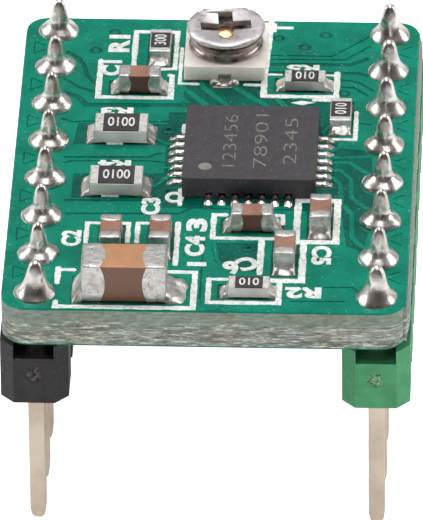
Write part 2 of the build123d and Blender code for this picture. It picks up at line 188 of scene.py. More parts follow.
def inset(outline, distance):
    """The outline moved inwards by a small distance."""
    moved = []
    for i, here in enumerate(outline):
        before = Vector(outline[i - 1])
        after = Vector(outline[(i + 1) % len(outline)])
        along = (after - before).normalized()
        here = Vector(here)
        moved.append((here.x - along.y * distance, here.y + along.x * distance))
    return moved


def ribbon_outline(path, width, wobble=0.0, round_ends=True):
    """The outline of a line of ink or copper drawn along a path."""
    points = [Vector(p) for p in path]
    left, right = [], []
    for i, here in enumerate(points):
        before = points[max(i - 1, 0)]
        after = points[min(i + 1, len(points) - 1)]
        into = (here - before) if i > 0 else (after - here)
        out = (after - here) if i < len(points) - 1 else into
        into, out = into.normalized(), out.normalized()
        mean = (into + out).normalized()
        across = Vector((-mean.y, mean.x))
        stretch = 1 / max(mean.dot(into), 0.5)
        half = width / 2 * stretch
        if wobble:
            half += wobble * noise.noise(Vector((here.x * 3.1, here.y * 3.1, width)))
        left.append(here + across * half)
        right.append(here - across * half)
    outline = list(right)
    if round_ends:
        outline += end_cap(points[-2], points[-1], width / 2)
    outline += reversed(left)
    if round_ends:
        outline += end_cap(points[1], points[0], width / 2)
    return [(p.x, p.y) for p in outline]


def end_cap(before, end, radius, steps=6):
    """Points of a half circle round the end of a line, anticlockwise."""
    heading = math.atan2(end.y - before.y, end.x - before.x)
    cap = []
    for i in range(1, steps):
        turn = heading - math.pi / 2 + math.pi * i / steps
        cap.append(Vector((end.x + radius * math.cos(turn), end.y + radius * math.sin(turn))))
    return cap


def finely(path, step):
    """The path with points at most a step apart."""
    fine = [path[0]]
    for here, there in zip(path, path[1:]):
        count = max(1, math.ceil(math.dist(here, there) / step))
        for i in range(1, count + 1):
            t = i / count
            fine.append((here[0] + (there[0] - here[0]) * t, here[1] + (there[1] - here[1]) * t))
    return fine


def rounded_rectangle(width, height, radius, steps=6):
    """Points round a rectangle centred on the origin, anticlockwise from the lower right."""
    points = []
    corners = [(1, -1, -90), (1, 1, 0), (-1, 1, 90), (-1, -1, 180)]
    for sx, sy, start in corners:
        cx = sx * (width / 2 - radius)
        cy = sy * (height / 2 - radius)
        for i in range(steps + 1):
            turn = math.radians(start + 90 * i / steps)
            points.append((cx + radius * math.cos(turn), cy + radius * math.sin(turn)))
    return points


def closed(outline, step):
    """A closed outline with points at most a step apart."""
    return finely([*outline, outline[0]], step)[:-1]


def anticlockwise(outline):
    """The outline in anticlockwise order; area is twice its signed area."""
    area = sum(a[0] * b[1] - b[0] * a[1] for a, b in zip(outline, outline[1:] + outline[:1]))
    return outline if area > 0 else outline[::-1]


def circle(radius, centre=(0, 0), steps=40):
    return [(centre[0] + radius * c, centre[1] + radius * s) for c, s in directions(steps)]


def final_mesh(piece):
    """A new mesh of a piece as its modifiers leave it."""
    return bpy.data.meshes.new_from_object(piece.evaluated_get(bpy.context.evaluated_depsgraph_get()))


def rectangle(low_x, low_y, high_x, high_y):
    return [(low_x, low_y), (high_x, low_y), (high_x, high_y), (low_x, high_y)]


def blanket(rows, base):
    """A closed lump: a grid of points on top, a skirt round it and a flat base."""
    deep, wide = len(rows), len(rows[0])
    points = [tuple(p) for row in rows for p in row]
    faces = []
    for r in range(deep - 1):
        for c in range(wide - 1):
            a = r * wide + c
            faces.append([a, a + 1, a + wide + 1, a + wide])
    rim = [c for c in range(wide)]
    rim += [r * wide + wide - 1 for r in range(1, deep)]
    rim += [(deep - 1) * wide + c for c in range(wide - 2, -1, -1)]
    rim += [r * wide for r in range(deep - 2, 0, -1)]
    start = len(points)
    points += [(points[i][0], points[i][1], base) for i in rim]
    for k in range(len(rim)):
        n = (k + 1) % len(rim)
        faces.append([rim[n], rim[k], start + k, start + n])
    faces.append([start + k for k in range(len(rim))])
    return points, faces


def revolved(profile, centre=(0, 0), steps=64):
    """A closed profile of (radius, height) turned about an upright axis."""
    rings = []
    for radius, height in profile:
        rings.append([(x, y, height) for x, y in circle(radius, centre, steps)])
    points, faces = loft(rings, cap_first=False, cap_last=False)
    last = (len(rings) - 1) * steps
    for i in range(steps):
        j = (i + 1) % steps
        faces.append([last + i, last + j, j, i])
    return points, faces


def carved(solid, cutters):
    """A solid's (points, faces) less a shape of cutters, which may overlap one another."""
    pieces = []
    for points, faces in (solid, (cutters.points, cutters.faces)):
        mesh = bpy.data.meshes.new("carving")
        mesh.from_pydata(points, [], faces)
        tidy_mesh(mesh, merge=0)
        pieces.append(linked("carving", mesh))
    cut = pieces[0].modifiers.new("cut", "BOOLEAN")
    cut.operation = "DIFFERENCE"
    cut.solver = "EXACT"
    cut.use_self = True
    cut.object = pieces[1]
    left = final_mesh(pieces[0])
    result = [tuple(v.co) for v in left.vertices], [list(f.vertices) for f in left.polygons]
    for piece in pieces:
        mesh = piece.data
        bpy.data.objects.remove(piece)
        bpy.data.meshes.remove(mesh)
    bpy.data.meshes.remove(left)
    return result


def cad_mesh(node):
    """A CAD node's own points, in millimetres, and faces."""
    mesh = nodes[node].data
    return [tuple(v.co / MM) for v in mesh.vertices], [list(f.vertices) for f in mesh.polygons]


def island_centres(node):
    """Centre of each separate solid in a CAD node, seen from above."""
    work = bmesh.new()
    work.from_mesh(nodes[node].data)
    bmesh.ops.remove_doubles(work, verts=work.verts, dist=0.001 * MM)
    left = set(work.verts)
    centres = []
    while left:
        front = [left.pop()]
        island = list(front)
        while front:
            for edge in front.pop().link_edges:
                for vert in edge.verts:
                    if vert in left:
                        left.remove(vert)
                        front.append(vert)
                        island.append(vert)
        xs = [v.co.x / MM for v in island]
        ys = [v.co.y / MM for v in island]
        centres.append(((min(xs) + max(xs)) / 2, (min(ys) + max(ys)) / 2))
    work.free()
    return sorted(centres)


def letters(text, width, height, bold):
    """Letters of a plain typeface, as points and faces: centred, of a given size and 1 deep."""
    curve = bpy.data.curves.new("letters", "FONT")
    curve.body = text
    curve.offset = bold
    curve.extrude = 0.5
    curve.resolution_u = 4
    made = linked("letters", curve)
    bpy.context.view_layer.update()
    mesh = final_mesh(made)
    points = [Vector(v.co) for v in mesh.vertices]
    faces = [list(f.vertices) for f in mesh.polygons]
    bpy.data.objects.remove(made)
    bpy.data.curves.remove(curve)
    bpy.data.meshes.remove(mesh)
    low = Vector([min(p[i] for p in points) for i in range(3)])
    high = Vector([max(p[i] for p in points) for i in range(3)])
    span = high - low
    centred = []
    for p in points:
        share = [(p[i] - low[i]) / span[i] for i in range(3)]
        centred.append(((share[0] - 0.5) * width, (share[1] - 0.5) * height, share[2]))
    return centred, faces


def printed(shape, text, size, place, turn, low, high, bold):
    """Adds letters to a shape: size is (width, height), turn is in degrees."""
    points, faces = letters(text, *size, bold)
    shape.add([(*turned(x, y, turn, place), low + (high - low) * share) for x, y, share in points], faces)


# ---- material building


BLACK = (0, 0, 0)
WHITE = (1, 1, 1)
GREEN_SHEEN = (0.12, 1.0, 0.82, 1.0)
MIX_INPUTS = (0, 6, 7)            # a colour Mix node's factor, first and second colour
MIX_OUTPUT = 2


class Paint:
    """A Principled material and short ways to add procedural detail to it."""

    def __init__(self, name, color, roughness=0.5, metallic=0.0, **sockets):
        self.material = bpy.data.materials.new(name)
        self.material.use_nodes = True
        self.tree = self.material.node_tree
        self.shader = self.tree.nodes["Principled BSDF"]
        self.set("Base Color", (*color, 1))
        self.set("Roughness", roughness)
        self.set("Metallic", metallic)
        for socket, value in sockets.items():
            self.set(socket.replace("_", " "), value)
        self.place = self.node("ShaderNodeTexCoord").outputs["Object"]

    def set(self, socket, value):
        self.shader.inputs[socket].default_value = value

    def node(self, kind, **settings):
        made = self.tree.nodes.new(kind)
        for key, value in settings.items():
            setattr(made, key, value)
        return made

    def link(self, output, target):
        self.tree.links.new(output, target)

    def noise(self, scale, detail=3.0, roughness=0.55, stretch=(1, 1, 1)):
        """Noise with about scale blobs in a millimetre, times the stretch along each axis."""
        mapping = self.node("ShaderNodeMapping")
        mapping.inputs["Scale"].default_value = [s / MM for s in stretch]
        self.link(self.place, mapping.inputs["Vector"])
        made = self.node("ShaderNodeTexNoise")
        for socket, number in (("Scale", scale), ("Detail", detail), ("Roughness", roughness)):
            made.inputs[socket].default_value = number
        self.link(mapping.outputs["Vector"], made.inputs["Vector"])
        return made.outputs["Fac"]

    def ramp(self, value, *stops):
        """Maps a value to colours; stops are (position, colour)."""
        made = self.node("ShaderNodeValToRGB")
        band = made.color_ramp
        while len(band.elements) < len(stops):
            band.elements.new(1.0)
        for element, (position, color) in zip(band.elements, stops):
            element.position = position
            element.color = (*color, 1)
        self.link(value, made.inputs["Fac"])
        return made.outputs["Color"]

    def mottle(self, scale, detail, *stops):
        """Colours spread by noise."""
        return self.ramp(self.noise(scale, detail), *stops)

    def span(self, value, low, high, to_low, to_high):
        """Maps low to to_low and high to to_high, and holds the value beyond them."""
        made = self.node("ShaderNodeMapRange")
        sockets = ("From Min", "From Max", "To Min", "To Max")
        for socket, number in zip(sockets, (low, high, to_low, to_high)):
            made.inputs[socket].default_value = number
        self.link(value, made.inputs["Value"])
        return made.outputs["Result"]

    def mix(self, factor, first, second, blend="MIX"):
        """Blends two colours; all three may be a socket or a value."""
        made = self.node("ShaderNodeMix", data_type="RGBA", blend_type=blend)
        for index, value in zip(MIX_INPUTS, (factor, first, second)):
            socket = made.inputs[index]
            if isinstance(value, bpy.types.NodeSocket):
                self.link(value, socket)
            elif isinstance(value, tuple):
                socket.default_value = (*value, 1)
            else:
                socket.default_value = value
        return made.outputs[MIX_OUTPUT]

    def color(self, output):
        self.link(output, self.shader.inputs["Base Color"])

    def finish(self, tone, roughness=None, bumps=()):
        """Colours the material; roughness is (noise scale, low, high) and each bump (scale, detail, depth)."""
        self.color(tone)
        if roughness:
            scale, low, high = roughness
            self.roughness(self.noise(scale), low, high)
        for scale, detail, depth in bumps:
            self.bump(self.noise(scale, detail), depth)
        return self.material

    def roughness(self, value, to_low, to_high, reach=(0.3, 0.7)):
        """Roughness from to_low to to_high, as a value goes over its reach."""
        self.link(self.span(value, *reach, to_low, to_high), self.shader.inputs["Roughness"])

    def bump(self, height, depth):
        """Bump whose full height is a depth in millimetres."""
        made = self.node("ShaderNodeBump")
        made.inputs["Strength"].default_value = 1.0
        made.inputs["Distance"].default_value = depth * MM
        self.link(height, made.inputs["Height"])
        if self.shader.inputs["Normal"].is_linked:
            self.link(self.shader.inputs["Normal"].links[0].from_socket, made.inputs["Normal"])
        self.link(made.outputs["Normal"], self.shader.inputs["Normal"])


# ---- materials


def lacquer(name, deep, light):
    """Green solder mask: dusty, glossy lacquer over the weave of the board."""
    paint = Paint(name, light, roughness=0.3, Specular_IOR_Level=0.30, Specular_Tint=GREEN_SHEEN)
    body = paint.mottle(0.9, 4, (0.32, deep), (0.62, light))
    dust = paint.mottle(9.0, 1, (0.70, BLACK), (0.76, WHITE))
    paint.color(paint.mix(paint.span(dust, 0, 1, 0, 0.5), body, (0.30, 0.52, 0.45)))
    paint.roughness(paint.noise(2.5), 0.22, 0.42)
    paint.bump(paint.noise(5.0, detail=2), 0.006)
    paint.bump(paint.noise(3.2, detail=0, stretch=(1, 0.3, 1)), 0.008)
    return paint.material


def laminate():
    """Cut edge of glass-fibre board: scored smooth above, broken and fibrous below."""
    paint = Paint("laminate_edge", (0.35, 0.42, 0.36), roughness=0.62)
    height = paint.node("ShaderNodeSeparateXYZ")
    paint.link(paint.place, height.inputs["Vector"])
    middle = (BOARD_TOP + BOARD_BOTTOM) / 2 * MM
    wavy = paint.noise(0.8, detail=3, stretch=(1, 1, 0.2))
    level = paint.node("ShaderNodeMath", operation="MULTIPLY_ADD")
    level.inputs[1].default_value = 0.5 * MM
    paint.link(wavy, level.inputs[0])
    paint.link(height.outputs["Z"], level.inputs[2])
    broken = paint.span(level.outputs["Value"], middle + 0.62 * MM, middle + 0.34 * MM, 0.0, 1.0)
    scored = paint.ramp(
        paint.noise(3.4, detail=9, roughness=0.75, stretch=(0.9, 0.9, 3.2)),
        (0.34, (0.085, 0.110, 0.090)),
        (0.52, (0.155, 0.190, 0.160)),
        (0.70, (0.27, 0.30, 0.265)),
    )
    strands = paint.noise(2.3, detail=10, roughness=0.80, stretch=(0.8, 0.8, 5.5))
    fibres = paint.ramp(
        strands,
        (0.38, (0.040, 0.044, 0.038)),
        (0.46, (0.115, 0.125, 0.110)),
        (0.54, (0.245, 0.265, 0.245)),
        (0.63, (0.62, 0.64, 0.62)),
    )
    clouds = paint.noise(0.30, detail=3, stretch=(1, 1, 1.4))
    tint = paint.ramp(clouds, (0.36, (0.95, 0.91, 0.80)), (0.50, (0.94, 0.98, 0.93)), (0.68, WHITE))
    paint.color(paint.mix(1.0, paint.mix(broken, scored, fibres), tint, "MULTIPLY"))
    paint.roughness(strands, 0.5, 0.75)
    paint.bump(strands, 0.04)
    paint.bump(paint.noise(9.0, detail=3, stretch=(0.6, 0.6, 2.5)), 0.012)
    return paint.material


def moulded(name, dark, light, grain=0.01, roughness=(0.4, 0.6), speckle=None):
    """Moulded plastic: slight cloudiness, fine grain, and dust if asked for."""
    paint = Paint(name, light)
    cloud = paint.mottle(1.6, 4, (0.3, dark), (0.7, light))
    if speckle:
        spots = paint.mottle(13.0, 1, (0.69, BLACK), (0.77, WHITE))
        cloud = paint.mix(spots, cloud, speckle)
    return paint.finish(cloud, (4.0, *roughness), [(14.0, 3, grain)])


def torn(name, dark, light):
    """Plastic torn apart: stress-whitened peaks, and painted shade that darkens its pits."""
    paint = Paint(name, light, roughness=0.7)
    relief = paint.noise(6.5, detail=5, roughness=0.7)
    # Painted shade: where the relief is low, which the bump turns into pits, the colour is dark; the high
    # peaks get the whitened colour.
    paint.color(paint.ramp(relief, (0.42, dark), (0.60, light)))
    paint.bump(relief, 0.10)
    return paint.material


def metal(name, dark, light, roughness=(0.15, 0.35), lumps=0.02, grain=0.004, blotch=1.4, metallic=1.0):
    """Plated or tinned metal: uneven tone, patches of dullness and soft lumps."""
    paint = Paint(name, light, metallic=metallic)
    paint.roughness(paint.noise(2.6, detail=5), *roughness, reach=(0.35, 0.65))
    tone = paint.mottle(blotch, 4, (0.33, dark), (0.6, light))
    return paint.finish(tone, bumps=[(2.2, 1, lumps), (16.0, 3, grain)])


def pitted_tin(name, gain):
    """Matt tin on the ends of components: pits, grey stains and a brighter skin."""
    paint = Paint(name, (0.6, 0.58, 0.56), metallic=0.75)
    stains = paint.noise(3.0, detail=5, roughness=0.65)
    shades = (0.30, (0.36, 0.33, 0.30)), (0.44, (0.56, 0.54, 0.52)), (0.66, (0.72, 0.71, 0.69))
    tone = paint.ramp(stains, *[(at, tuple(gain * c for c in shade_color)) for at, shade_color in shades])
    pits = paint.mottle(10.0, 2, (0.28, (0.25, 0.2, 0.17)), (0.36, WHITE))
    paint.roughness(stains, 0.42, 0.24)
    return paint.finish(paint.mix(1.0, tone, pits, "MULTIPLY"), bumps=[(4.0, 3, 0.02), (12.0, 2, 0.008)])


def ceramic(name, dark, light, roughness=(0.35, 0.55), stain=None):
    """Fired ceramic, glaze or film, with stains if asked for."""
    paint = Paint(name, light)
    tone = paint.mottle(1.2, 5, (0.3, dark), (0.65, light))
    if stain:
        marks = paint.mottle(4.5, 4, (0.66, BLACK), (0.80, (0.7, 0.7, 0.7)))
        tone = paint.mix(marks, tone, stain)
    return paint.finish(tone, (5.0, *roughness), [(11.0, 4, 0.006)])


def fired(name, dark, light, flank):
    """A capacitor's ceramic with painted shading: faces that point sideways get the darker flank colour, faces
    that point up get the mottled top colour, and a warmer brown band lies on the rounded edges between them.
    """
    paint = Paint(name, light)
    top = paint.mottle(1.6, 5, (0.3, dark), (0.65, light))
    # Painted shade: the colour follows which way each face points, so the flanks are darker than the top.
    facing = paint.node("ShaderNodeSeparateXYZ")
    paint.link(paint.node("ShaderNodeTexCoord").outputs["Normal"], facing.inputs["Vector"])
    upward = paint.span(facing.outputs["Z"], 0.15, 0.8, 0.0, 1.0)
    edge = paint.span(facing.outputs["Z"], 0.2, 0.5, 0.0, 0.5)
    side = paint.mix(edge, flank, (0.42, 0.13, 0.06))
    return paint.finish(paint.mix(upward, side, top), (5.0, 0.36, 0.5), [(9.0, 4, 0.008)])


def ink(name, dark, light):
    """Printed ink, worn thin in places."""
    paint = Paint(name, light, roughness=0.6)
    return paint.finish(paint.mottle(7.0, 4, (0.34, dark), (0.56, light)), bumps=[(9.0, 2, 0.006)])


def rotor_metal():
    """Satin plate with fine scratches and a brown tarnish."""
    paint = Paint("rotor_steel", (0.5, 0.47, 0.45), metallic=0.9)
    tone = paint.ramp(
        paint.noise(1.5, detail=5, roughness=0.6),
        (0.34, (0.37, 0.305, 0.285)),
        (0.48, (0.62, 0.575, 0.585)),
        (0.68, (0.85, 0.82, 0.85)),
    )
    scratches = paint.noise(5.0, stretch=(0.35, 3.0, 1))
    paint.color(paint.mix(paint.span(scratches, 0.4, 0.7, 0.0, 0.35), tone, (0.80, 0.78, 0.80)))
    paint.roughness(scratches, 0.30, 0.44)
    paint.bump(scratches, 0.006)
    paint.bump(paint.noise(7.0), 0.006)
    return paint.material


MASK = lacquer("solder_mask", (0.001, 0.085, 0.058), (0.001, 0.127, 0.087))
MASK_VIA = lacquer("solder_mask_on_vias", (0.001, 0.07, 0.047), (0.001, 0.11, 0.075))
DOT = moulded("first_lead_dot", (0.16, 0.14, 0.12), (0.26, 0.235, 0.205))
MASK_RAISED = lacquer("solder_mask_over_copper", (0.001, 0.178, 0.108), (0.001, 0.240, 0.151))
LAMINATE = laminate()
BLACK_PLASTIC = moulded(
    "header_black", (0.004, 0.003, 0.0035), (0.009, 0.0065, 0.0075), speckle=(0.10, 0.085, 0.08))
# Each scar's first colour is painted shade in its pits, and its second the stress-whitened peaks.
BLACK_SCAR = torn("header_black_scar", (0.004, 0.003, 0.003), (0.085, 0.072, 0.066))
GREEN_SCAR = torn("header_green_scar", (0.012, 0.10, 0.035), (0.20, 0.40, 0.22))
GREEN_PLASTIC = moulded(
    "header_green", (0.015, 0.150, 0.054), (0.030, 0.220, 0.088), speckle=(0.10, 0.36, 0.18))
PIN_METAL = metal(
    "pin_metal", (0.43, 0.345, 0.277), (0.54, 0.45, 0.372),
    roughness=(0.45, 0.6), lumps=0.006, grain=0.006, blotch=0.8, metallic=0.35)
DULL_SOLDER = metal(
    "solder_dull", (0.50, 0.455, 0.42), (0.86, 0.83, 0.80),
    roughness=(0.30, 0.50), lumps=0.035, grain=0.008, blotch=3.0, metallic=0.9)
SOLDER = metal("solder", (0.58, 0.515, 0.475), (0.88, 0.84, 0.81), roughness=(0.24, 0.37), lumps=0.010)
TIN = pitted_tin("tin_plating", 0.88)
BRIGHT_TIN = pitted_tin("tin_plating_bright", 1.3)
PAD_TIN = metal("tinned_copper", (0.45, 0.42, 0.36), (0.66, 0.63, 0.58), roughness=(0.3, 0.5))
LEAD_METAL = metal("chip_lead", (0.42, 0.20, 0.13), (0.66, 0.40, 0.30), roughness=(0.3, 0.5))
MOULD = moulded(
    "chip_mould", (0.033, 0.029, 0.034), (0.046, 0.040, 0.047),
    grain=0.012, roughness=(0.42, 0.6), speckle=(0.20, 0.18, 0.18))
MARKING = ink("chip_marking", (0.105, 0.092, 0.086), (0.25, 0.22, 0.195))
SILICON = ceramic("silicon", (0.1, 0.1, 0.12), (0.2, 0.2, 0.24))
BASE_CERAMIC = ceramic("trimmer_ceramic", (0.87, 0.80, 0.73), (0.96, 0.90, 0.83), stain=(0.50, 0.43, 0.36))
FILM = ceramic("resistive_film", (0.01, 0.01, 0.01), (0.03, 0.03, 0.03))
NICKEL = metal("nickel_sheet", (0.30, 0.27, 0.23), (0.55, 0.52, 0.47), roughness=(0.25, 0.45))
BRASS = metal("rivet_brass", (0.40, 0.22, 0.10), (0.80, 0.56, 0.28), roughness=(0.14, 0.28))
STEEL = rotor_metal()
DISH_STEEL = metal(
    "dish_steel", (0.26, 0.20, 0.175), (0.62, 0.55, 0.52), roughness=(0.24, 0.40), lumps=0.03, blotch=2.6)
# Painted shade: the small resistors' alumina is a darker copy of the white alumina below, standing in for the
# shade on their faces.
SHADED_ALUMINA = ceramic("alumina", (0.34, 0.33, 0.32), (0.50, 0.485, 0.47), stain=(0.25, 0.22, 0.20))
WHITE_ALUMINA = ceramic("white_alumina", (0.62, 0.585, 0.56), (0.84, 0.80, 0.77), stain=(0.42, 0.36, 0.32))
GLAZE = ceramic("black_glaze", (0.018, 0.016, 0.017), (0.034, 0.03, 0.03), roughness=(0.3, 0.45))
# The last colour of each capacitor ceramic is painted shade for its flanks.
BROWN = fired("capacitor_brown", (0.25, 0.105, 0.065), (0.36, 0.175, 0.115), (0.085, 0.042, 0.030))
TAN = fired("capacitor_tan", (0.43, 0.195, 0.085), (0.52, 0.255, 0.12), (0.115, 0.054, 0.032))
LEGEND = ink("legend_ink", (0.60, 0.66, 0.61), (0.93, 0.95, 0.92))
CODE_INK = ink("code_ink", (0.55, 0.55, 0.52), (0.85, 0.85, 0.83))

SLOT_MATERIALS = {
    "board_laminate": LAMINATE, "solder_mask": MASK, "tinned_copper": PAD_TIN,
    "header_black": BLACK_PLASTIC, "header_green": GREEN_PLASTIC, "pin_metal": PIN_METAL,
    "solder": SOLDER, "chip_mould": MOULD, "chip_lead": LEAD_METAL, "silicon": SILICON,
    "trimmer_ceramic": BASE_CERAMIC, "resistive_film": FILM, "nickel_sheet": NICKEL,
    "rivet_brass": BRASS, "rotor_steel": STEEL, "alumina": SHADED_ALUMINA, "black_glaze": GLAZE,
    "tin_plating": TIN, "capacitor_tan": TAN, "capacitor_brown": BROWN,
}


def dress_cad_nodes():
    """Each CAD node gets the material of its slot and smooth shading."""
    for part in frame["record"]["subparts"]:
        node = nodes[part["node"]]
        node.data.materials.clear()
        node.data.materials.append(SLOT_MATERIALS[part["material_slot"]])
        shade(node, 30)


dress_cad_nodes()


# ---- soldered pins


PINS_PER_ROW = 8
PIN_WIDTH = 0.60
PITCH = 2.54
CONE_STEPS = 48
SKIN_RISE = 0.16                  # solder over the pin's upper end
CONE_FORWARD = 0.07               # the solder sits this far in front of its pin
PIN_END = 0.25                    # pins end this far above the board, inside the solder
PIN_EDGE = 0.035                  # rounding of a pin's edges
# A square pin's lower end, as (height above its tip, width).
PIN_POINT = [(0.0, 0.28), (0.2, 0.50), (0.5, PIN_WIDTH)]
# Solder round a pin, as (height above the board, radius): a low collar and a plump cone.
COLLAR = [(0.0, 0.765), (0.04, 0.765), (0.12, 0.74), (0.21, 0.655), (0.30, 0.50), (0.40, 0.39), (0.56, 0.335)]
CONE = [(0.0, 0.765), (0.03, 0.765), (0.09, 0.725), (0.19, 0.63), (0.34, 0.53), (0.55, 0.435), (0.78, 0.365)]
# The skin over the pin's end, as (share of its height, share of the radius, squareness).
SKIN = [(0.12, 0.96, 0.35), (0.33, 0.86, 0.65), (0.52, 0.76, 0.65), (0.68, 0.66, 0.55), (0.80, 0.57, 0.45),
        (0.89, 0.46, 0.3), (0.95, 0.34, 0.1), (0.985, 0.20, 0.0), (1.0, 0.06, 0.0)]


def pin_places(side):
    """Centres of one row's pins, front to back, from the row's own box."""
    low, high = box_mm(f"pins_{side}")
    x = (low.x + high.x) / 2
    first = low.y + PIN_WIDTH / 2
    last = high.y - PIN_WIDTH / 2
    return [(x, first + (last - first) * i / (PINS_PER_ROW - 1)) for i in range(PINS_PER_ROW)]


def solder_profile(full):
    """Height above the board, radius and squareness of the solder, from the foot up.

    full is 0 for a low collar with the pin standing clear and 1 for a plump cone.
    """
    flank = [(a[0] + (b[0] - a[0]) * full, a[1] + (b[1] - a[1]) * full, 0.0) for a, b in zip(COLLAR, CONE)]
    foot, girth, _ = flank[-1]
    tip = box_mm("pins_left")[1].z - BOARD_TOP + SKIN_RISE
    return flank + [(foot + (tip - foot) * share, girth * part, square) for share, part, square in SKIN]


def solder_cone(shape, place, full, seed):
    """A hollow-sided cone of solder on one pin, and the skin of solder over the square pin's tip."""
    lean = Vector((wave(seed, 1.3), wave(seed, 7.7))) * 0.05
    rings = []
    for height, radius, square in solder_profile(full):
        ring = []
        foot = max(0.0, 1 - height / 0.35)
        for c, s in directions(CONE_STEPS):
            box_radius = 1 / max(abs(c), abs(s))
            r = radius * (1 + square * (min(box_radius, 1.25) - 1))
            r *= 1 + wave(c * 1.1 + seed, s * 1.1, height * 1.6) * (0.06 + 0.05 * foot)
            x = place[0] + lean.x * height + r * c
            y = place[1] + lean.y * height + r * s
            ring.append((x, y, BOARD_TOP + height))
        rings.append(ring)
    shape.add(*loft(rings))


# How plump each joint is, front to back.
FULLNESS = {
    "left": (1.0, 0.10, 0.15, 0.20, 0.05, 0.10, 0.20, 0.30),
    "right": (1.0, 0.25, 0.15, 0.20, 0.25, 0.65, 0.80, 0.85),
}


def soldered_pins():
    """The solder round the pins: every joint differs a little, and the front two are the plumpest."""
    for side, outwards, first_seed in (("left", 0.04, 0), ("right", 0.02, 200)):
        shape = Shape()
        for i, (x, y) in enumerate(pin_places(side)):
            full = FULLNESS[side][i] + dice.uniform(-0.05, 0.0)
            solder_cone(shape, (x + outwards, y - CONE_FORWARD), full, seed=10 * i + first_seed)
        shape.put(f"pin_joints_{side}", SOLDER, smooth=60, replaces=[f"pin_solder_{side}"], slot="solder")


def square_pins():
    """Square pins with blunt lower ends, whose upper ends are inside the solder."""
    for side in SIDES:
        foot = box_mm(f"pins_{side}")[0].z
        levels = [(foot + rise, width) for rise, width in PIN_POINT] + [(BOARD_TOP + PIN_END, PIN_WIDTH)]
        shape = Shape()
        for x, y in pin_places(side):
            rings = []
            for z, width in levels:
                half = width / 2
                rings.append([(x + a, y + b, z) for a, b in rectangle(-half, -half, half, half)])
            shape.add(*loft(rings))
        name = f"square_pins_{side}"
        piece = shape.put(name, PIN_METAL, smooth=30, replaces=[f"pins_{side}"], slot="pin_metal")
        soften(piece, PIN_EDGE)


soldered_pins()


# ---- board: copper, legend, vias


POUR_MARGIN = 0.01                # the copper stops this far from the board's edge
LAND_RADIUS = 0.775               # bare land round a pin
SLOPE = 0.03                      # the mask slopes down this far beside copper
TRENCH_LOW = -0.02                # a trench's bottom and top, from the board's surface
TRENCH_HIGH = 0.05
WINDOW_LINE = 0.08                # width of the strokes between neighbouring pins
WINDOW_NEAR = 0.42                # and where they start and end, from the pins' row
WINDOW_FAR = 0.86
LAND_REACH = 0.42                 # raised mask stops this far beyond a component's end
LAND_SIDE = 0.12                  # and beyond its flank
CHIP_ROOM = 0.75                  # and round the chip
COPPER_SUNK = 0.006               # raised layers start a little below the board's surface
TRACE_SUNK = 0.004
INK_SUNK = 0.002
LAYER_STEP = 0.0007               # each trace is this much higher than the last
INK_STEP = 0.0005                 # and each line of the legend
MASK_RIM = 0.025                  # slope at the rim of raised mask
RIDGE = 0.125                     # the broken side stands out this far
RIDGE_END = 0.55                  # and stops this far from the board's corners
RIDGE_STEPS = 150
INK_SPREAD = 1.1                  # legend lines run wider than drawn
# A tented via, as (radius, height above the board).
VIA_PROFILE = [(0.02, -0.05), (0.08, -0.045), (0.11, 0.02), (0.15, 0.036), (0.20, 0.036), (0.26, 0.018),
               (0.26, -0.02), (0.16, -0.08), (0.02, -0.08)]


def trench(shape, outline):
    """Cuts an outline out of the copper layer, with sloping sides."""
    bottom = [(x, y, BOARD_TOP + TRENCH_LOW) for x, y in inset(outline, SLOPE)]
    top = [(x, y, BOARD_TOP + TRENCH_HIGH) for x, y in outline]
    shape.add(*loft([bottom, top]))


# Gaps between neighbouring nets, as (width, route).
GAPS = [
    (0.10, [(1.6, 7.28), (4.17, 7.28), (5.4, 8.5), (5.8, 9.0)]),
    (0.12, [(1.7, 7.0), (4.68, 7.05), (5.6, 8.0)]),
    (0.24, [(1.7, 6.66), (4.9, 6.7), (5.5, 7.1)]),
    (0.20, [(1.7, 6.1), (5.2, 6.12), (5.6, 5.95)]),
    (0.14, [(4.6, 5.62), (4.95, 5.6), (5.3, 5.45), (5.8, 4.95)]),
    (0.14, [(4.55, 5.15), (5.1, 5.1), (5.6, 4.6)]),
    (0.12, [(5.2, 2.9), (5.35, 2.7), (5.8, 2.6)]),
    (0.28, [(-5.9, 4.5), (-5.38, 4.25), (-5.04, 3.68), (-1.2, 3.76)]),
    (0.14, [(-5.9, 2.72), (-5.5, 2.5), (-5.0, 2.56), (-1.15, 2.6)]),
    (0.22, [(-5.9, 7.3), (-5.45, 6.9), (-5.22, 6.3), (-5.1, 5.7), (-4.75, 5.2)]),
    (0.16, [(-5.95, 5.45), (-5.33, 4.87), (-4.67, 4.55)]),
    (0.16, [(-5.66, 0.10), (-2.5, 0.16), (-2.2, 0.42), (-1.6, 0.5)]),
    (0.10, [(-5.7, -0.3), (-5.45, -0.15), (-2.5, -0.08), (-1.7, -0.2)]),
    (0.14, [(-5.4, -3.7), (-1.2, -3.6), (-0.5, -3.0), (-0.2, -2.6)]),
    (0.14, [(-5.5, -2.8), (-1.8, -2.74)]),
    (0.12, [(4.42, -8.35), (5.42, -8.32), (5.8, -8.8)]),
    (0.10, [(3.2, -9.3), (5.2, -9.25)]),
    (0.10, [(-0.2, -9.2), (-0.2, -5.2)]),
]
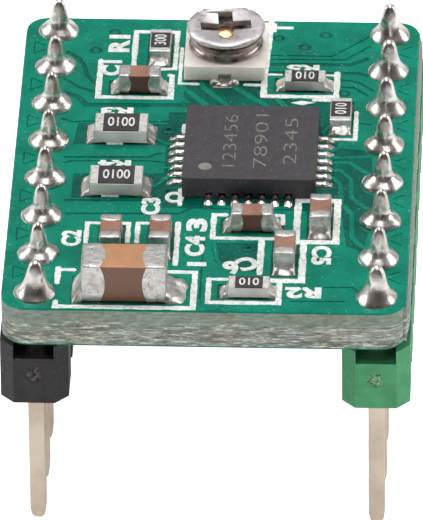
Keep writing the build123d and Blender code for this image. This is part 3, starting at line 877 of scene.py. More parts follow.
# Places with no copper but the lines drawn through them.
CLEARINGS = [
    [(-1.36, 5.6), (-1.4, 3.6), (3.8, 3.7), (4.2, 4.1), (1.62, 4.4), (1.62, 5.6)],
    [(3.6, 4.1), (3.6, -3.2), (4.35, -3.2), (4.35, 4.1)],
    [(4.2, 1.0), (5.3, 0.9), (5.9, 0.7), (6.1, -3.6), (5.75, -6.0), (5.1, -5.6), (4.75, -2.4), (4.2, -1.4)],
    [(-5.3, 2.45), (-5.3, 1.0), (-2.3, 1.0), (-1.0, 0.9), (-1.0, 2.45)],
    [(-5.3, -1.0), (-5.3, -2.66), (-1.1, -2.66), (-1.0, 0.6), (-1.8, -0.9)],
    [(-1.2, -2.5), (-0.2, -3.3), (4.2, -3.3), (4.2, -2.4)],
    [(0.08, -5.5), (0.24, -6.75), (0.93, -7.39), (1.9, -7.36), (1.83, -5.5)],
    [(-5.3, 2.3), (-5.4, 1.0), (-4.6, 0.95), (-4.6, 2.3)],
]
# Lines of copper through those places, as (width, route).
TRACES = [
    (0.26, [(-1.75, 5.4), (-0.50, 3.85)]),
    (0.22, [(-0.72, 5.35), (-0.62, 5.0), (0.30, 3.85)]),
    (0.24, [(0.55, 5.1), (0.80, 4.83), (1.80, 3.82)]),
    (0.22, [(2.20, 4.32), (2.52, 3.80)]),
    (0.20, [(-1.55, 4.4), (-1.2, 4.0)]),
    (0.22, [(4.0, 0.33), (5.0, 0.35), (5.9, 0.45)]),
    (0.22, [(4.0, -0.02), (5.09, 0.0), (5.55, -0.50), (6.0, -0.95)]),
    (0.20, [(4.0, -0.5), (4.74, -0.52), (5.16, -1.13), (5.20, -2.35), (5.80, -3.05)]),
    (0.20, [(4.0, -0.95), (4.45, -1.0), (4.78, -1.5), (4.85, -2.75),
            (5.25, -3.4), (5.30, -5.0), (5.85, -5.8)]),
    (0.18, [(4.0, 0.85), (4.4, 0.82), (4.9, 1.28)]),
    (0.18, [(4.9, 1.6), (5.5, 2.2)]),
    (0.16, [(4.0, 2.0), (4.3, 2.6), (4.3, 3.4)]),
    (0.18, [(-2.35, 1.58), (-1.93, 1.12), (-1.2, 1.0)]),
    (0.18, [(-2.2, -1.8), (-1.65, -1.05), (-1.2, -0.98)]),
    (0.18, [(-2.4, -0.9), (-2.0, -0.52), (-1.2, -0.5)]),
    (0.20, [(-0.2, -3.0), (1.4, -3.25), (2.8, -3.1)]),
    (0.18, [(0.18, -5.5), (0.36, -6.7), (0.95, -7.3)]),
]


def board_outline(margin, radius):
    """The board's outline moved inwards, with rounded corners."""
    width = BOARD_HIGH.x - BOARD_LOW.x - 2 * margin
    length = BOARD_HIGH.y - BOARD_LOW.y - 2 * margin
    centre = (BOARD_LOW + BOARD_HIGH) / 2
    return [(x + centre.x, y + centre.y) for x, y in rounded_rectangle(width, length, radius)]


def pad_keepouts():
    """Outlines that keep the raised mask clear of every component and its lands."""
    outlines = []
    for name in RESISTOR_NAMES + CAPACITOR_NAMES:
        seat = Seat(name)
        reach = seat.length / 2 + LAND_REACH
        side = seat.width / 2 + LAND_SIDE
        outlines.append([seat.at(u, v, 0)[:2] for u, v in rectangle(-reach, -side, reach, side)])
    low, high = box_mm("driver_mould")
    outlines.append(rectangle(low.x - CHIP_ROOM, low.y - CHIP_ROOM, high.x + CHIP_ROOM, high.y + CHIP_ROOM))
    low, high = box_mm("trimmer_base")
    outlines.append(rectangle(low.x + 0.2, low.y - 0.5, high.x - 0.2, high.y + 0.5))
    return outlines


def small_windows():
    """Strokes in copper between neighbouring pins, which spread towards the board's edges."""
    strokes = []
    for side, away in (("left", -1), ("right", 1)):
        for x, y in pin_places(side)[:-1]:
            mid = y + PITCH / 2
            near, far = x + away * WINDOW_NEAR, x + away * WINDOW_FAR
            strokes.append([(near, mid - 0.12), (far, mid - 0.42)])
            strokes.append([(near, mid + 0.14), (far, mid + 0.40)])
            if side == "left":
                strokes.append([(far, mid - 0.42), (far, mid + 0.34)])
    return strokes


def copper_layer():
    """The solder mask where it lies over copper, a little higher and lighter than beside it."""
    slab = prism(board_outline(POUR_MARGIN, 0.8), BOARD_TOP - COPPER_SUNK, BOARD_TOP + TRACE_RISE, MASK_RIM)
    cutters = Shape()
    for width, route in GAPS:
        trench(cutters, ribbon_outline(route, width))
    for outline in CLEARINGS + pad_keepouts():
        trench(cutters, anticlockwise(outline))
    for stroke in small_windows():
        trench(cutters, ribbon_outline(stroke, WINDOW_LINE, round_ends=False))
    for side in SIDES:
        for place in pin_places(side):
            trench(cutters, circle(LAND_RADIUS + 0.02, place, 32))
    Shape(carved(slab, cutters)).put("mask_over_copper", MASK_RAISED, smooth=20)


def mask_collars():
    """The mask's edge round every pin's land, just outside the solder."""
    below, above = BOARD_TOP - TRACE_SUNK, BOARD_TOP + 0.018
    profile = [(LAND_RADIUS, below), (LAND_RADIUS + 0.02, above), (0.90, above), (0.95, below)]
    collars = [revolved(profile, place, 40) for side in SIDES for place in pin_places(side)]
    Shape(*collars).put("mask_collars", MASK, smooth=30)


def trace_lines():
    """The lines of copper under the mask."""
    shape = Shape()
    for i, (width, route) in enumerate(TRACES):
        top = BOARD_TOP + TRACE_RISE + 0.002 + LAYER_STEP * i
        shape.add(*prism(ribbon_outline(route, width), BOARD_TOP - TRACE_SUNK, top, MASK_RIM))
    shape.put("mask_over_traces", MASK_RAISED, smooth=20)


def tented_vias():
    """Vias under the mask: a low ring with a dimple, and the same below the board."""
    shape = Shape()
    for x, y in island_centres("vias"):
        for level, way in ((BOARD_TOP, 1), (BOARD_BOTTOM, -1)):
            heights = [(r, level + way * z) for r, z in VIA_PROFILE]
            shape.add(*revolved(heights, (x, y), 24))
            plug = sorted((level - way * 0.049, level - way * 0.078))
            shape.add(*prism(circle(0.03, (x, y), 10), *plug))
    shape.put("tented_vias", MASK_VIA, smooth=50, replaces=["vias"], slot="solder_mask")


# Legend lines, as (width, route).
LEGEND_LINES = [
    (0.18, [(-3.36, 6.25), (-3.36, 8.8), (-1.78, 8.8), (-1.78, 6.25), (-2.5, 6.2)]),
    (0.20, [(-1.95, 5.80), (-1.86, 5.76), (-1.86, 4.23), (-4.62, 4.23), (-4.62, 6.76)]),
    (0.14, [(-1.56, 7.68), (-1.56, 5.24), (-0.86, 5.22)]),
    (0.14, [(0.93, 5.22), (1.62, 5.20)]),
    (0.22, [(1.78, 9.60), (1.72, 7.6), (1.66, 6.2), (1.66, 4.45), (4.42, 4.45), (4.42, 6.10)]),
    (0.12, [(1.82, 5.95), (2.28, 5.95)]),
    (0.12, [(4.03, 5.95), (4.44, 5.95)]),
    (0.15, [(3.59, 4.22), (4.20, 4.22)]),
    (0.16, [(5.23, 3.43), (5.23, 1.56), (4.32, 1.56)]),
    (0.17, [(-1.24, 1.89), (-1.24, 2.37)]),
    (0.17, [(-1.20, -1.98), (-1.20, -2.99)]),
    (0.20, [(0.55, -3.65), (0.12, -3.65), (0.12, -5.2), (2.45, -5.2)]),
    (0.17, [(2.43, -3.65), (2.69, -3.65), (2.72, -4.2)]),
    (0.22, [(1.96, -5.31), (1.96, -7.5)]),
    (0.24, [(3.53, -5.40), (3.53, -7.97), (2.40, -7.97)]),
    (0.24, [(3.24, -5.38), (3.24, -2.62), (3.9, -2.6)]),
    (0.24, [(4.40, -2.6), (4.72, -2.62), (4.72, -5.38), (3.24, -5.38)]),
    (0.20, [(0.10, -7.93), (0.10, -9.45), (2.72, -9.45), (2.72, -7.95)]),
    (0.16, [(0.10, -7.93), (0.80, -7.93)]),
    (0.20, [(-5.53, -7.35), (-5.53, -8.3)]),
    (0.20, [(-5.53, -9.55), (-5.53, -9.86), (-0.43, -9.86), (-0.43, -7.50), (-1.44, -7.50)]),
    (0.16, [(-5.55, -7.45), (-4.94, -7.45)]),
    (0.17, [(-4.60, -5.62), (-4.60, -4.33), (-4.13, -4.33)]),
    (0.17, [(-3.35, -4.33), (-3.05, -4.33), (-3.05, -5.58)]),
    (0.17, [(-2.70, -5.57), (-2.70, -4.30), (-2.35, -4.30)]),
    (0.20, [(-1.20, -4.26), (-1.20, -6.98)]),
    (0.14, [(-4.08, 1.07), (-3.59, 1.07)]),
    (0.14, [(-4.10, -2.48), (-3.58, -2.48)]),
]
# Reference designators and loose digits, as (text, width, height, place, turn).
LEGEND_TEXT = [
    ("R1", 1.20, 0.80, (-3.98, 7.95), 90),
    ("C1", 1.05, 0.80, (-4.20, 6.25), 90),
    ("C2", 1.05, 0.75, (-5.15, -5.35), 90),
    ("C3", 1.15, 0.72, (-2.28, -3.15), 90),
    ("C4", 1.35, 0.75, (-0.52, -5.75), 90),
    ("1", 0.24, 0.72, (-0.40, -6.95), 90),
    ("3", 0.85, 0.80, (-0.50, -4.35), 90),
    ("C6", 1.30, 0.90, (1.25, -7.00), 205),
    ("C5", 1.25, 0.75, (4.22, -6.25), 270),
    ("R2", 1.35, 0.72, (3.62, -8.74), 180),
    ("R3", 1.25, 0.50, (-3.85, 3.28), 180),
    ("R4", 1.25, 0.50, (-3.78, -0.33), 180),
    ("R5", 1.25, 0.50, (3.10, 6.40), 180),
    ("T", 0.60, 0.85, (2.22, 9.20), 90),
]


def legend():
    """White ink: boxes round the components, designators and the mark at the chip's first lead."""
    shape = Shape()
    low = BOARD_TOP - INK_SUNK
    top = BOARD_TOP + TRACE_RISE + INK_RISE
    for i, (width, route) in enumerate(LEGEND_LINES):
        outline = ribbon_outline(finely(route, 0.18), width * INK_SPREAD, wobble=0.035)
        shape.add(*prism(outline, low, top + INK_STEP * i, 0.015))
    for text, width, height, place, turn in LEGEND_TEXT:
        printed(shape, text, (width, height), place, turn, low, top, bold=0.05)
    ring = [(0.20, low), (0.20, top), (0.36, top), (0.36, low)]
    shape.add(*revolved(ring, (-1.42, -2.52), 28))
    arrow = [(2.72, 4.02), (3.15, 3.86), (3.62, 4.05), (3.1, 4.16)]
    shape.add(*prism(arrow, low, top))
    shape.put("legend", LEGEND, smooth=0)


def broken_edge():
    """The ridge left along the board's right side where it was snapped from its panel."""
    low_y = BOARD_LOW.y + RIDGE_END
    high_y = BOARD_HIGH.y - RIDGE_END
    side = BOARD_HIGH.x
    inside = side - 0.10
    rings = []
    for i in range(RIDGE_STEPS + 1):
        y = low_y + (high_y - low_y) * i / RIDGE_STEPS
        end = min(1.0, i / 3, (RIDGE_STEPS - i) / 3)
        rough = min(0.0, wave(y * 1.7, 0.3) * 0.02 + wave(y * 7.0, 2.3) * 0.012)
        out = side + 0.001 + (RIDGE + rough) * end
        shoulder = side + 0.001 + (0.75 * RIDGE + 0.8 * rough) * end
        rings.append([
            (inside, y, BOARD_BOTTOM + 0.05),
            (side, y, BOARD_BOTTOM + 0.06),
            (shoulder, y, BOARD_BOTTOM + 0.45),
            (out, y, BOARD_BOTTOM + 0.75),
            (out, y, BOARD_TOP - 0.55),
            (shoulder, y, BOARD_TOP - 0.25),
            (side, y, BOARD_TOP - 0.055),
            (inside, y, BOARD_TOP - 0.06),
        ])
    Shape(loft(rings)).put("board_broken_edge", LAMINATE, smooth=50, slot="board_laminate")


# ---- chip components


class Seat:
    """Where a two-ended component sits: u runs along it, v across it and w up from its underside."""

    def __init__(self, name):
        ends = f"{name}_caps" if f"{name}_caps" in nodes else f"{name}_terminals"
        low, high = box_mm(ends)
        self.centre = (low + high) / 2
        self.base = low.z
        self.turned = high.y - low.y > high.x - low.x
        self.length = max(high.x - low.x, high.y - low.y)
        self.width = min(high.x - low.x, high.y - low.y)
        self.height = high.z - low.z

    def at(self, u, v, w):
        if self.turned:
            return (self.centre.x - v, self.centre.y + u, self.base + w)
        return (self.centre.x + u, self.centre.y + v, self.base + w)


RESISTOR_NAMES = [n[:-len("_coating")] for n in nodes if n.endswith("_coating")]
CAPACITOR_NAMES = [n[:-len("_caps")] for n in nodes if n.endswith("_caps")]
CAP_ROUNDING = 0.07
SUPPLY_LENGTH = 2.5               # only the supply capacitor is longer than this
# band is the width of the plated ends; solder is its (reach, climb over the height) at each end.
SMALL_CAPACITOR = {"slot": "capacitor_brown", "band": 0.36, "solder": {-1: (0.36, 0.62), 1: (0.36, 0.62)}}
SUPPLY_CAPACITOR = {"slot": "capacitor_tan", "band": 0.70, "solder": {-1: (0.44, 0.55), 1: (0.80, 0.22)}}


def section(width, height, radius, step):
    """A rounded rectangle's points across a component, from its middle."""
    return closed(rounded_rectangle(width, height, radius, 5), step)


def end_cap_piece(shape, seat, sign, band, bulge, seed):
    """A plated end: rounded, lumpy, and reaching furthest inwards at the middle of each face."""
    half_w, half_h = seat.width / 2, seat.height / 2
    outline = section(seat.width, seat.height, CAP_ROUNDING, seat.width / 9)
    stops = []
    for i in range(5):
        turn = math.pi / 2 * i / 4
        stops.append((CAP_ROUNDING * (1 - math.cos(turn)), CAP_ROUNDING * (1 - math.sin(turn)), 0.0))
    stops += [(band * 0.5, 0.0, 0.35), (band * 0.85, 0.0, 0.8), (band, 0.008, 1.0), (band + 0.02, 0.035, 1.0)]
    rings = []
    for depth, tuck, reach in stops:
        ring = []
        for v, w in outline:
            centred = 1 - min(abs(v) / half_w, abs(w) / half_h) ** 2
            inward = depth + reach * bulge * centred
            u = sign * (seat.length / 2 - inward)
            lump = wave(u * 3.5 + seed, v * 3.5, w * 3.5) * 0.022
            shrink = tuck + max(0.0, lump) * (1 - 0.9 * reach)
            ring.append(seat.at(u, v * (1 - shrink / half_w), half_h + w * (1 - shrink / half_h)))
        rings.append(ring)
    shape.add(*loft(rings))


def meniscus(shape, seat, sign, reach, climb, seed, spread):
    """Solder that climbs a component's end and runs out over its land in rounded corners."""
    rows = []
    steps_out, steps_across = 14, 22
    for r in range(steps_out + 1):
        t = r / steps_out
        row = []
        for c in range(steps_across + 1):
            v = 2 * c / steps_across - 1
            run = reach * (1 - 0.14 * v * v) * (1 + 0.16 * wave(v * 1.4, seed))
            u = sign * (seat.length / 2 - 0.03 + run * t)
            side = v * (seat.width / 2 * 1.02 + spread * t)
            hollow = climb * (1 - t) ** 2.2 * (0.80 + 0.20 * v * v)
            beads = 0.13 * min(1.0, climb * 1.6) * bell(abs(v), 0.74, 0.22) * bell(t, 0.66, 0.25)
            skin = 0.05 * (1 + 0.8 * wave(u * 4 + seed, side * 4, 3.0))
            fall = (1 - abs(v) ** 10) * (1 - t ** 8)
            row.append(seat.at(u, side, (hollow + beads + skin) * fall - 0.03))
        rows.append(row)
    shape.add(*blanket(rows, BOARD_TOP - 0.01))


def capacitors(joints):
    """Ceramic bodies with plated ends; their solder is added to joints."""
    for k, name in enumerate(CAPACITOR_NAMES):
        seat = Seat(name)
        look = SUPPLY_CAPACITOR if seat.length > SUPPLY_LENGTH else SMALL_CAPACITOR
        outline = section(seat.width - 0.03, seat.height - 0.03, 0.05, seat.width / 6)
        half = seat.length / 2 - 0.12
        rings = []
        for u in (-half, -seat.length / 5, seat.length / 5, half):
            rings.append([seat.at(u, v, seat.height / 2 + w) for v, w in outline])
        ceramic_slot = look["slot"]
        Shape(loft(rings)).put(
            f"{name}_ceramic", SLOT_MATERIALS[ceramic_slot], replaces=[f"{name}_body"], slot=ceramic_slot)
        ends = Shape()
        bulge = 0.10 * seat.width + 0.02
        for sign in (-1, 1):
            end_cap_piece(ends, seat, sign, look["band"], bulge, 3.1 * k + sign)
        ends.put(f"{name}_plating", TIN, smooth=50, replaces=[f"{name}_caps"], slot="tin_plating")
        for sign in (-1, 1):
            reach, climb = look["solder"][sign]
            meniscus(joints, seat, sign, reach, climb * seat.height, 5.3 * k + sign, spread=0.04)


def resistor_joints(joints):
    for k, name in enumerate(RESISTOR_NAMES):
        seat = Seat(name)
        for sign in (-1, 1):
            meniscus(joints, seat, sign, 0.36, 0.62 * seat.height, 40 + 4.7 * k + sign, spread=0.03)


def component_solder():
    joints = Shape()
    capacitors(joints)
    resistor_joints(joints)
    joints.put("component_joints", DULL_SOLDER, smooth=60, replaces=["passive_solder"], slot="solder")


# Value codes on the resistors, as (node, text, width, height, turn).
VALUE_CODES = [
    ("sense_resistor_upper", "0010", 1.02, 0.60, 180),
    ("sense_resistor_lower", "0010", 1.02, 0.60, 180),
    ("resistor_rear_left", "300", 0.72, 0.46, 90),
    ("resistor_rear_right", "010", 0.72, 0.50, 0),
    ("resistor_right", "010", 0.74, 0.44, 90),
    ("resistor_front", "010", 0.74, 0.46, 180),
]


def value_codes():
    """Generic digits on the resistors' coatings."""
    shape = Shape()
    for name, text, width, height, turn in VALUE_CODES:
        top = box_mm(f"{name}_coating")[1].z
        centre = middle_mm(f"{name}_coating")
        printed(shape, text, (width, height), centre[:2], turn, top - 0.004, top + 0.008, bold=0.012)
    shape.put("value_codes", CODE_INK, smooth=0)


# ---- driver chip


LEAD_PITCH = 0.5
LEADS_PER_SIDE = 7
MARK_RADIUS = 0.27
MARK_PLACE = (0.84, 0.86)         # from the mould's front left corner
MARK_DEPTH = 0.03
CODE_HEIGHT = 0.50
# A lead's drop of solder: its length, half width and rise at the chip.
DROP_LENGTH, DROP_WIDTH, DROP_RISE = 0.62, 0.145, 0.17
# Generic digits on the chip, as (text, x, length).
CHIP_CODES = [("123456", 0.58, 3.5), ("78901", 1.74, 3.6), ("2345", 2.86, 3.1)]


def driver_body():
    """The mould: softly bevelled, with a round dent at its first lead and generic digits on it."""
    low, high = box_mm("driver_mould")
    outline = rectangle(low.x, low.y, high.x, high.y)
    rings = []
    for z, margin in ((low.z, 0.015), (low.z + 0.03, 0.0), (high.z - 0.03, 0.0), (high.z, 0.03)):
        rings.append([(x, y, z) for x, y in inset(outline, margin)])
    dot = (low.x + MARK_PLACE[0], low.y + MARK_PLACE[1])
    dent = Shape(prism(circle(MARK_RADIUS, dot, 32), high.z - MARK_DEPTH, high.z + 0.1))
    mould = Shape(carved(loft(rings), dent))
    mould.put("driver_body", MOULD, replaces=["driver_mould"], slot="chip_mould")
    floor = Shape(prism(circle(MARK_RADIUS - 0.01, dot, 32), high.z - 0.035, high.z - 0.018))
    floor.put("driver_first_lead_mark", DOT)
    marking = Shape()
    below, above = high.z - 0.003, high.z + 0.004
    for text, x, length in CHIP_CODES:
        printed(marking, text, (length, CODE_HEIGHT), (x, 0.10), 90, below, above, bold=-0.016)
    marking.put("driver_marking", MARKING, smooth=0)


def lead_ends():
    """Start of each lead at the chip's side and the way it points."""
    low, high = box_mm("driver_mould")
    centre = (low + high) / 2
    ends = []
    for i in range(LEADS_PER_SIDE):
        along = (i - (LEADS_PER_SIDE - 1) / 2) * LEAD_PITCH
        ends.append(((high.x, centre.y + along), (1, 0)))
        ends.append(((low.x, centre.y + along), (-1, 0)))
        ends.append(((centre.x + along, low.y), (0, -1)))
        ends.append(((centre.x + along, high.y), (0, 1)))
    return ends


def lead_drop(shape, start, way, seed):
    """A long drop of solder: high at the chip, waisted, with a round toe."""
    length = DROP_LENGTH + 0.06 * wave(seed, 0.5)
    width = DROP_WIDTH + 0.02 * wave(seed, 2.5)
    rise = DROP_RISE + 0.05 * wave(seed, 4.5)
    steps_out, steps_across = 12, 10
    rows = []
    for r in range(steps_out + 1):
        t = r / steps_out
        swell = 0.90 + 0.22 * bell(t, 0.66, 0.25)
        if t > 0.8:
            swell *= math.sqrt(max(0.02, 1 - ((t - 0.8) / 0.2) ** 2))
        height = rise * (1 - t) ** 1.3 + 0.09 * bell(t, 0.62, 0.25) * (1 - t ** 10)
        row = []
        for c in range(steps_across + 1):
            turn = math.pi * c / steps_across
            along = t * length - 0.02
            across = -math.cos(turn) * width * swell
            x = start[0] + way[0] * along - way[1] * across
            y = start[1] + way[1] * along + way[0] * across
            row.append((x, y, BOARD_TOP + 0.005 + math.sin(turn) ** 0.8 * height))
        rows.append(row)
    shape.add(*blanket(rows, BOARD_TOP - 0.01))


def driver_joints():
    shape = Shape()
    for k, (start, way) in enumerate(lead_ends()):
        lead_drop(shape, start, way, 1.7 * k)
    shape.put("driver_joints", SOLDER, smooth=60, replaces=["driver_solder"], slot="solder")


def behind_fold(low, high):
    """What the fold cuts off behind the rotor, with a round notch at each of its ends."""
    notches = [(sign * (FOLD_WIDTH / 2 + 0.16), FOLD - 0.01) for sign in (-1, 1)]
    cuts = [rectangle(-2, FOLD, 2, 2)] + [circle(0.17, notch, 20) for notch in notches]
    return Shape(*[prism(cut, low, high) for cut in cuts])


def rotor_plate(top, radius, behind):
    """The slotted plate with its rolled rim, drawn down a little round the cross."""
    profile = [(0.05, top - 0.21), (radius - 0.10, top - 0.21), (radius - 0.03, top - 0.18),
               (radius, top - 0.11), (radius - 0.01, top - 0.05), (radius - 0.06, top - 0.01),
               (radius - 0.13, top)]
    profile += [(1.2 - 0.115 * i, top) for i in range(11)]
    arm, span = SLOT_WIDTH / 2, SLOT_LENGTH / 2
    slots = [rectangle(-w, -h, w, h) for w, h in ((span, arm), (arm, span))]
    cutters = Shape(*[prism(slot, top - 0.4, top + 0.2) for slot in slots])
    cutters.add(behind.points, behind.faces)
    points, faces = carved(revolved(profile, steps=96), cutters)
    return [(x, y, z - sunk(x, y)) for x, y, z in points], faces


def rotor_dish(crown, foot, behind):
    """The flanged dish under the plate."""
    profile = [(0.36, crown), (1.20, crown), (1.31, crown - 0.015), (1.37, crown - 0.05),
               (1.385, crown - 0.10), (1.35, crown - 0.16), (1.30, crown - 0.21), (1.29, foot + 0.17),
               (1.33, foot + 0.12), (1.40, foot + 0.095), (1.42, foot + 0.055), (1.39, foot + 0.02),
               (1.24, foot + 0.03), (1.20, crown - 0.20), (1.10, crown - 0.08), (0.36, crown - 0.08)]
    return carved(revolved(profile, steps=96), behind)


def rotor_fold(top, crown):
    """The strip behind the axis that joins the plate and the dish."""
    bend = []
    for i in range(1, 7):
        turn = math.pi / 2 * i / 6
        bend.append((FOLD - 0.20 + 0.17 * math.sin(turn), top - 0.20 + 0.19 * math.cos(turn)))
    outline = [(FOLD - 0.24, top - 0.012), *bend, (FOLD - 0.03, crown - 0.05), (FOLD - 0.10, crown - 0.06),
               (FOLD - 0.10, top - 0.27), (FOLD - 0.24, top - 0.20)]
    return loft([[(x, y, z) for y, z in outline] for x in (-FOLD_WIDTH / 2, FOLD_WIDTH / 2)])


# ---- trimmer


SLOT_WIDTH = 0.55
SLOT_LENGTH = 1.92
ROTOR_TURN = 4.5                  # degrees, where the rotor was left
FOLD = 1.14                       # axis to the outside of the fold
FOLD_WIDTH = 1.72
DISH_DROP = 0.33                  # the dish's crown is this far below the plate's top
DISH_FOOT = 0.70                  # the dish's flange, above the board
TRIMMER_EDGE = 0.07               # rounding of the base's edges


def sunk(x, y):
    """How far the punched cross has drawn the plate down: most on its left."""
    share = max(0.0, 1 - math.hypot(x, y) / 1.25)
    side = 0.5 - 0.5 * math.tanh(x / 0.25)
    return (0.05 + 0.16 * side) * share if y > 0 else (0.07 + 0.06 * side) * share


def rotor_sheet():
    """Folded steel: a slotted plate over a flanged dish, joined behind."""
    axis = middle_mm("trimmer_rivet")
    low, high = box_mm("trimmer_rotor")
    top = high.z
    crown = top - DISH_DROP
    foot = BOARD_TOP + DISH_FOOT
    behind = behind_fold(foot - 1, top + 1)
    plate = Shape(rotor_plate(top, (high.x - low.x) / 2, behind), rotor_fold(top, crown))
    dish = Shape(rotor_dish(crown, foot, behind))
    for part, name, material in ((plate, "rotor_plate", STEEL), (dish, "rotor_dish", DISH_STEEL)):
        part.points = [(*turned(x, y, ROTOR_TURN, axis), z) for x, y, z in part.points]
        part.put(name, material, body=ROTOR, smooth=28, replaces=["trimmer_rotor"], slot="rotor_steel")


def bead(shape, centre, reach, height, seed):
    """A low, uneven drop of solder: reach is its half size along x and y."""
    rings = []
    for share, part in ((-0.1, 1.0), (0.15, 1.0), (0.55, 0.86), (0.85, 0.58), (0.97, 0.30), (1.0, 0.04)):
        ring = []
        for c, s in directions(28):
            swell = part * (1 + 0.22 * wave(c * 1.2, s * 1.2, seed))
            lift = share * height * (1 + 0.25 * wave(c, s, seed + 4) * part)
            x = centre[0] + reach[0] * swell * c
            y = centre[1] + reach[1] * swell * s
            ring.append((x, y, BOARD_TOP + lift))
        rings.append(ring)
    shape.add(*loft(rings))


def trimmer_joints():
    """Uneven drops of solder on both sides of each terminal, and a thin fillet in front of it."""
    shape = Shape()
    low, high = box_mm("trimmer_base")
    for x, y in island_centres("trimmer_solder"):
        edge, away = (low.y, -1) if y < (low.y + high.y) / 2 else (high.y, 1)
        for sign in (-1, 1):
            seed = x + 3.1 * sign
            bead(shape, (x + sign * 0.36, edge + away * 0.17), (0.22, 0.17), 0.20, seed)
            bead(shape, (x + sign * 0.20, edge + away * 0.27), (0.15, 0.11), 0.12, seed + 9)
        bead(shape, (x, edge + away * 0.20), (0.36, 0.20), 0.07, x)
    shape.put("trimmer_joints", DULL_SOLDER, smooth=60, replaces=["trimmer_solder"], slot="solder")


def brass_dome():
    """The rivet's head, spread by the punch into a low dome."""
    axis = middle_mm("trimmer_rivet")
    low, high = box_mm("trimmer_rivet")
    profile = [(0.005, high.z), (0.16, high.z - 0.015), (0.32, high.z - 0.055), (0.43, high.z - 0.10),
               (0.46, high.z - 0.15), (0.44, high.z - 0.19), (0.30, high.z - 0.21), (0.30, low.z),
               (0.005, low.z)]
    dome = Shape(revolved(profile, (axis.x, axis.y), 48))
    dome.put("rivet", BRASS, smooth=50, replaces=["trimmer_rivet"], slot="rivet_brass")


# ---- headers


SCAR_RADIUS = 0.34
SCAR_DEPTH = 0.05
HEADER_EDGE = 0.07                # rounding of a header's edges
HEADER_LOOKS = (
    ("left", BLACK_PLASTIC, BLACK_SCAR, "header_black"),
    ("right", GREEN_PLASTIC, GREEN_SCAR, "header_green"),
)


def scar_outline(centre, radius, seed):
    """A ragged spot, as (x, z)."""
    outline = []
    for c, s in directions(18):
        r = radius * (0.85 + 0.45 * wave(c * 1.7 + seed, s * 1.7, seed))
        outline.append((centre[0] + r * c, centre[1] + r * s))
    return outline


def scar_patch(shape, centre, face, inward, seed):
    """The torn surface inside a dent: lumpy, and just below the header's end face."""
    rings = []
    for share in (1.0, 0.8, 0.6, 0.4, 0.2, 0.03):
        ring = []
        for x, z in scar_outline(centre, SCAR_RADIUS * share, seed):
            lump = min(1.0, max(0.0, 0.5 + wave(x * 9, z * 9, seed)))
            ring.append((x, face + inward * (0.004 + 0.034 * lump), z))
        rings.append(ring)
    base = [(x, face + inward * 0.1, z) for x, _, z in rings[0]]
    shape.add(*loft([base, *rings]))


def headers():
    """The insulators, with a ragged, stress-whitened dent where they were snapped off a longer strip."""
    for side, material, scar_material, slot in HEADER_LOOKS:
        low, high = box_mm(f"header_{side}")
        centre = ((low.x + high.x) / 2, (low.z + high.z) / 2)
        dents = Shape()
        scars = Shape()
        for face, inward, seed in ((low.y, 1, 1.0), (high.y, -1, 5.0)):
            outline = scar_outline(centre, SCAR_RADIUS, seed)
            depths = (face + inward * SCAR_DEPTH, face - inward * SCAR_DEPTH)
            dents.add(*loft([[(x, y, z) for x, z in outline] for y in depths]))
            scar_patch(scars, centre, face, inward, seed)
        body = Shape(carved(cad_mesh(f"header_{side}"), dents))
        piece = body.put(f"insulator_{side}", material, smooth=30, replaces=[f"header_{side}"], slot=slot)
        soften(piece, HEADER_EDGE)
        scars.put(f"scars_{side}", scar_material, smooth=25)


def soften(piece, width):
    """Rounds a piece's sharp edges a little."""
    bevel = piece.modifiers.new("soften", "BEVEL")
    bevel.width = width * MM
    bevel.segments = 2
    bevel.limit_method = "ANGLE"
    bevel.angle_limit = math.radians(40)
    bevel.harden_normals = False


# Rounding of the pieces of a resistor, which show as the CAD has them.
RESISTOR_EDGES = {"substrate": 0.02, "terminals": 0.03, "coating": 0.01}


def soften_cad_nodes():
    """Rounds the CAD pieces that show as they are, and gives some a brighter look than their slot's."""
    for name in RESISTOR_NAMES:
        for part, width in RESISTOR_EDGES.items():
            soften(nodes[f"{name}_{part}"], width)
        nodes[f"{name}_terminals"].data.materials[0] = BRIGHT_TIN
        # The sense resistors get the white alumina; the slot's alumina is the darker copy with painted shade.
        if name.startswith("sense"):
            nodes[f"{name}_substrate"].data.materials[0] = WHITE_ALUMINA
    soften(nodes["trimmer_base"], TRIMMER_EDGE)


copper_layer()
mask_collars()
trace_lines()
tented_vias()
legend()
broken_edge()
component_solder()
value_codes()
driver_body()
driver_joints()
rotor_sheet()
trimmer_joints()
brass_dome()
square_pins()
headers()
soften_cad_nodes()


# ---- camera, light and floor


CAMERA_PLACE = (0.017548, -0.375656, 0.261158)
CAMERA_AZIMUTH = 2.701            # degrees, like the next two
CAMERA_ELEVATION = 34.194
CAMERA_ROLL = -0.651
CAMERA_LENS = 830.96              # millimetres, like the sensor's width
SENSOR = 36.0
TENT_COLOURS = [(0.0, (0.15, 0.13, 0.125)), (0.45, (0.50, 0.49, 0.49)), (1.0, (0.95, 0.95, 0.95))]


def add_camera():
    """A long lens, so that the board's far end is only a little smaller than its near end."""
    azimuth, elevation, roll = (math.radians(a) for a in (CAMERA_AZIMUTH, CAMERA_ELEVATION, CAMERA_ROLL))
    back = Vector((
        math.sin(azimuth) * math.cos(elevation),
        -math.cos(azimuth) * math.cos(elevation),
        math.sin(elevation),
    ))
    right = Vector((math.cos(azimuth), math.sin(azimuth), 0))
    up = back.cross(right)
    level_right = right * math.cos(roll) + up * math.sin(roll)
    level_up = up * math.cos(roll) - right * math.sin(roll)
    data = bpy.data.cameras.new("camera")
    data.lens = CAMERA_LENS
    data.sensor_width = SENSOR
    data.clip_start = 0.01
    data.clip_end = 10
    camera = linked("camera", data)
    axes = Matrix((level_right, level_up, back)).transposed().to_4x4()
    camera.matrix_world = Matrix.Translation(CAMERA_PLACE) @ axes
    bpy.context.scene.camera = camera


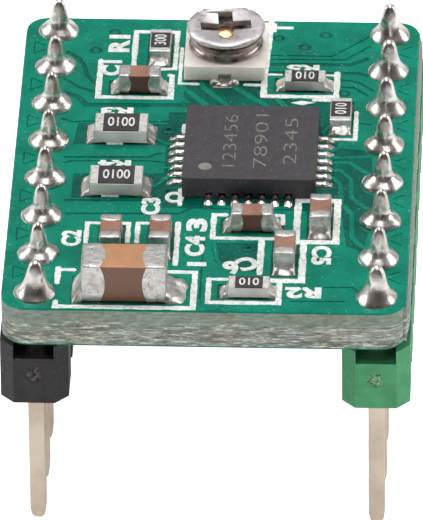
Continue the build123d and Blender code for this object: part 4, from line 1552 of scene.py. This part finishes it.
# Softboxes, as (name, place, size, power, whether metal mirrors them).
LIGHTS = [
    ("back_box", (-0.05, 0.26, 0.54), 0.34, 1.5, True),
    ("overhead", (0.0, -0.12, 0.60), 0.30, 0.9, True),
    ("left_box", (-0.50, 0.10, 0.26), 0.30, 1.0, True),
    ("right_box", (0.50, 0.12, 0.26), 0.30, 0.9, True),
    ("left_edge", (-0.45, 0.10, 0.05), 0.20, 0.4, False),
    ("right_edge", (0.45, 0.10, 0.05), 0.20, 1.2, False),
    ("front_fill", (0.05, -0.60, 0.06), 0.24, 2.4, False),
]


def add_light(name, place, size, power, mirrored):
    """A square softbox that faces the object; metal doesn't mirror it if mirrored is False."""
    data = bpy.data.lights.new(name, "AREA")
    data.shape = "SQUARE"
    data.size = size
    data.energy = power
    light = linked(name, data)
    aim = Vector((0, 0, 0.01)) - Vector(place)
    light.rotation_euler = aim.to_track_quat("-Z", "Y").to_euler()
    light.location = place
    light.visible_glossy = mirrored


def add_world():
    """A pale tent that is darker behind the camera, so that solder has dark fronts."""
    world = bpy.data.worlds.new("tent")
    bpy.context.scene.world = world
    world.use_nodes = True
    tree = world.node_tree
    background = tree.nodes["Background"]
    place, split, span, ramp = (
        tree.nodes.new(f"ShaderNode{kind}") for kind in ("TexCoord", "SeparateXYZ", "MapRange", "ValToRGB"))
    ramp.color_ramp.elements.new(0.45)
    for element, (position, color) in zip(ramp.color_ramp.elements, TENT_COLOURS):
        element.position = position
        element.color = (*color, 1)
    span.inputs["From Min"].default_value = -0.9
    span.inputs["From Max"].default_value = 0.6
    tree.links.new(place.outputs["Generated"], split.inputs["Vector"])
    tree.links.new(split.outputs["Y"], span.inputs["Value"])
    tree.links.new(span.outputs["Result"], ramp.inputs["Fac"])
    tree.links.new(ramp.outputs["Color"], background.inputs["Color"])
    background.inputs["Strength"].default_value = 0.30


FLOOR_REACH = 3.0
FLOOR_GLOW = 0.85
MIRRORED_GLOW = 0.12              # metal mirrors a dimmer table, so that it has dark fronts


def add_floor():
    """A white table under the pin tips."""
    data = bpy.data.meshes.new("floor")
    corners = rectangle(-FLOOR_REACH, -FLOOR_REACH, FLOOR_REACH, FLOOR_REACH)
    data.from_pydata([(x, y, 0) for x, y in corners], [], [(0, 1, 2, 3)])
    floor = linked("floor", data)
    paint = Paint("floor", (0.9, 0.9, 0.9), roughness=0.9)
    mirrored = paint.node("ShaderNodeLightPath").outputs["Is Glossy Ray"]
    paint.set("Emission Color", (1, 1, 1, 1))
    glow = paint.span(mirrored, 0, 1, FLOOR_GLOW, MIRRORED_GLOW)
    paint.link(glow, paint.shader.inputs["Emission Strength"])
    data.materials.append(paint.material)


add_camera()
add_world()
add_floor()
for light in LIGHTS:
    add_light(*light)
bpy.context.scene.view_settings.view_transform = "Standard"
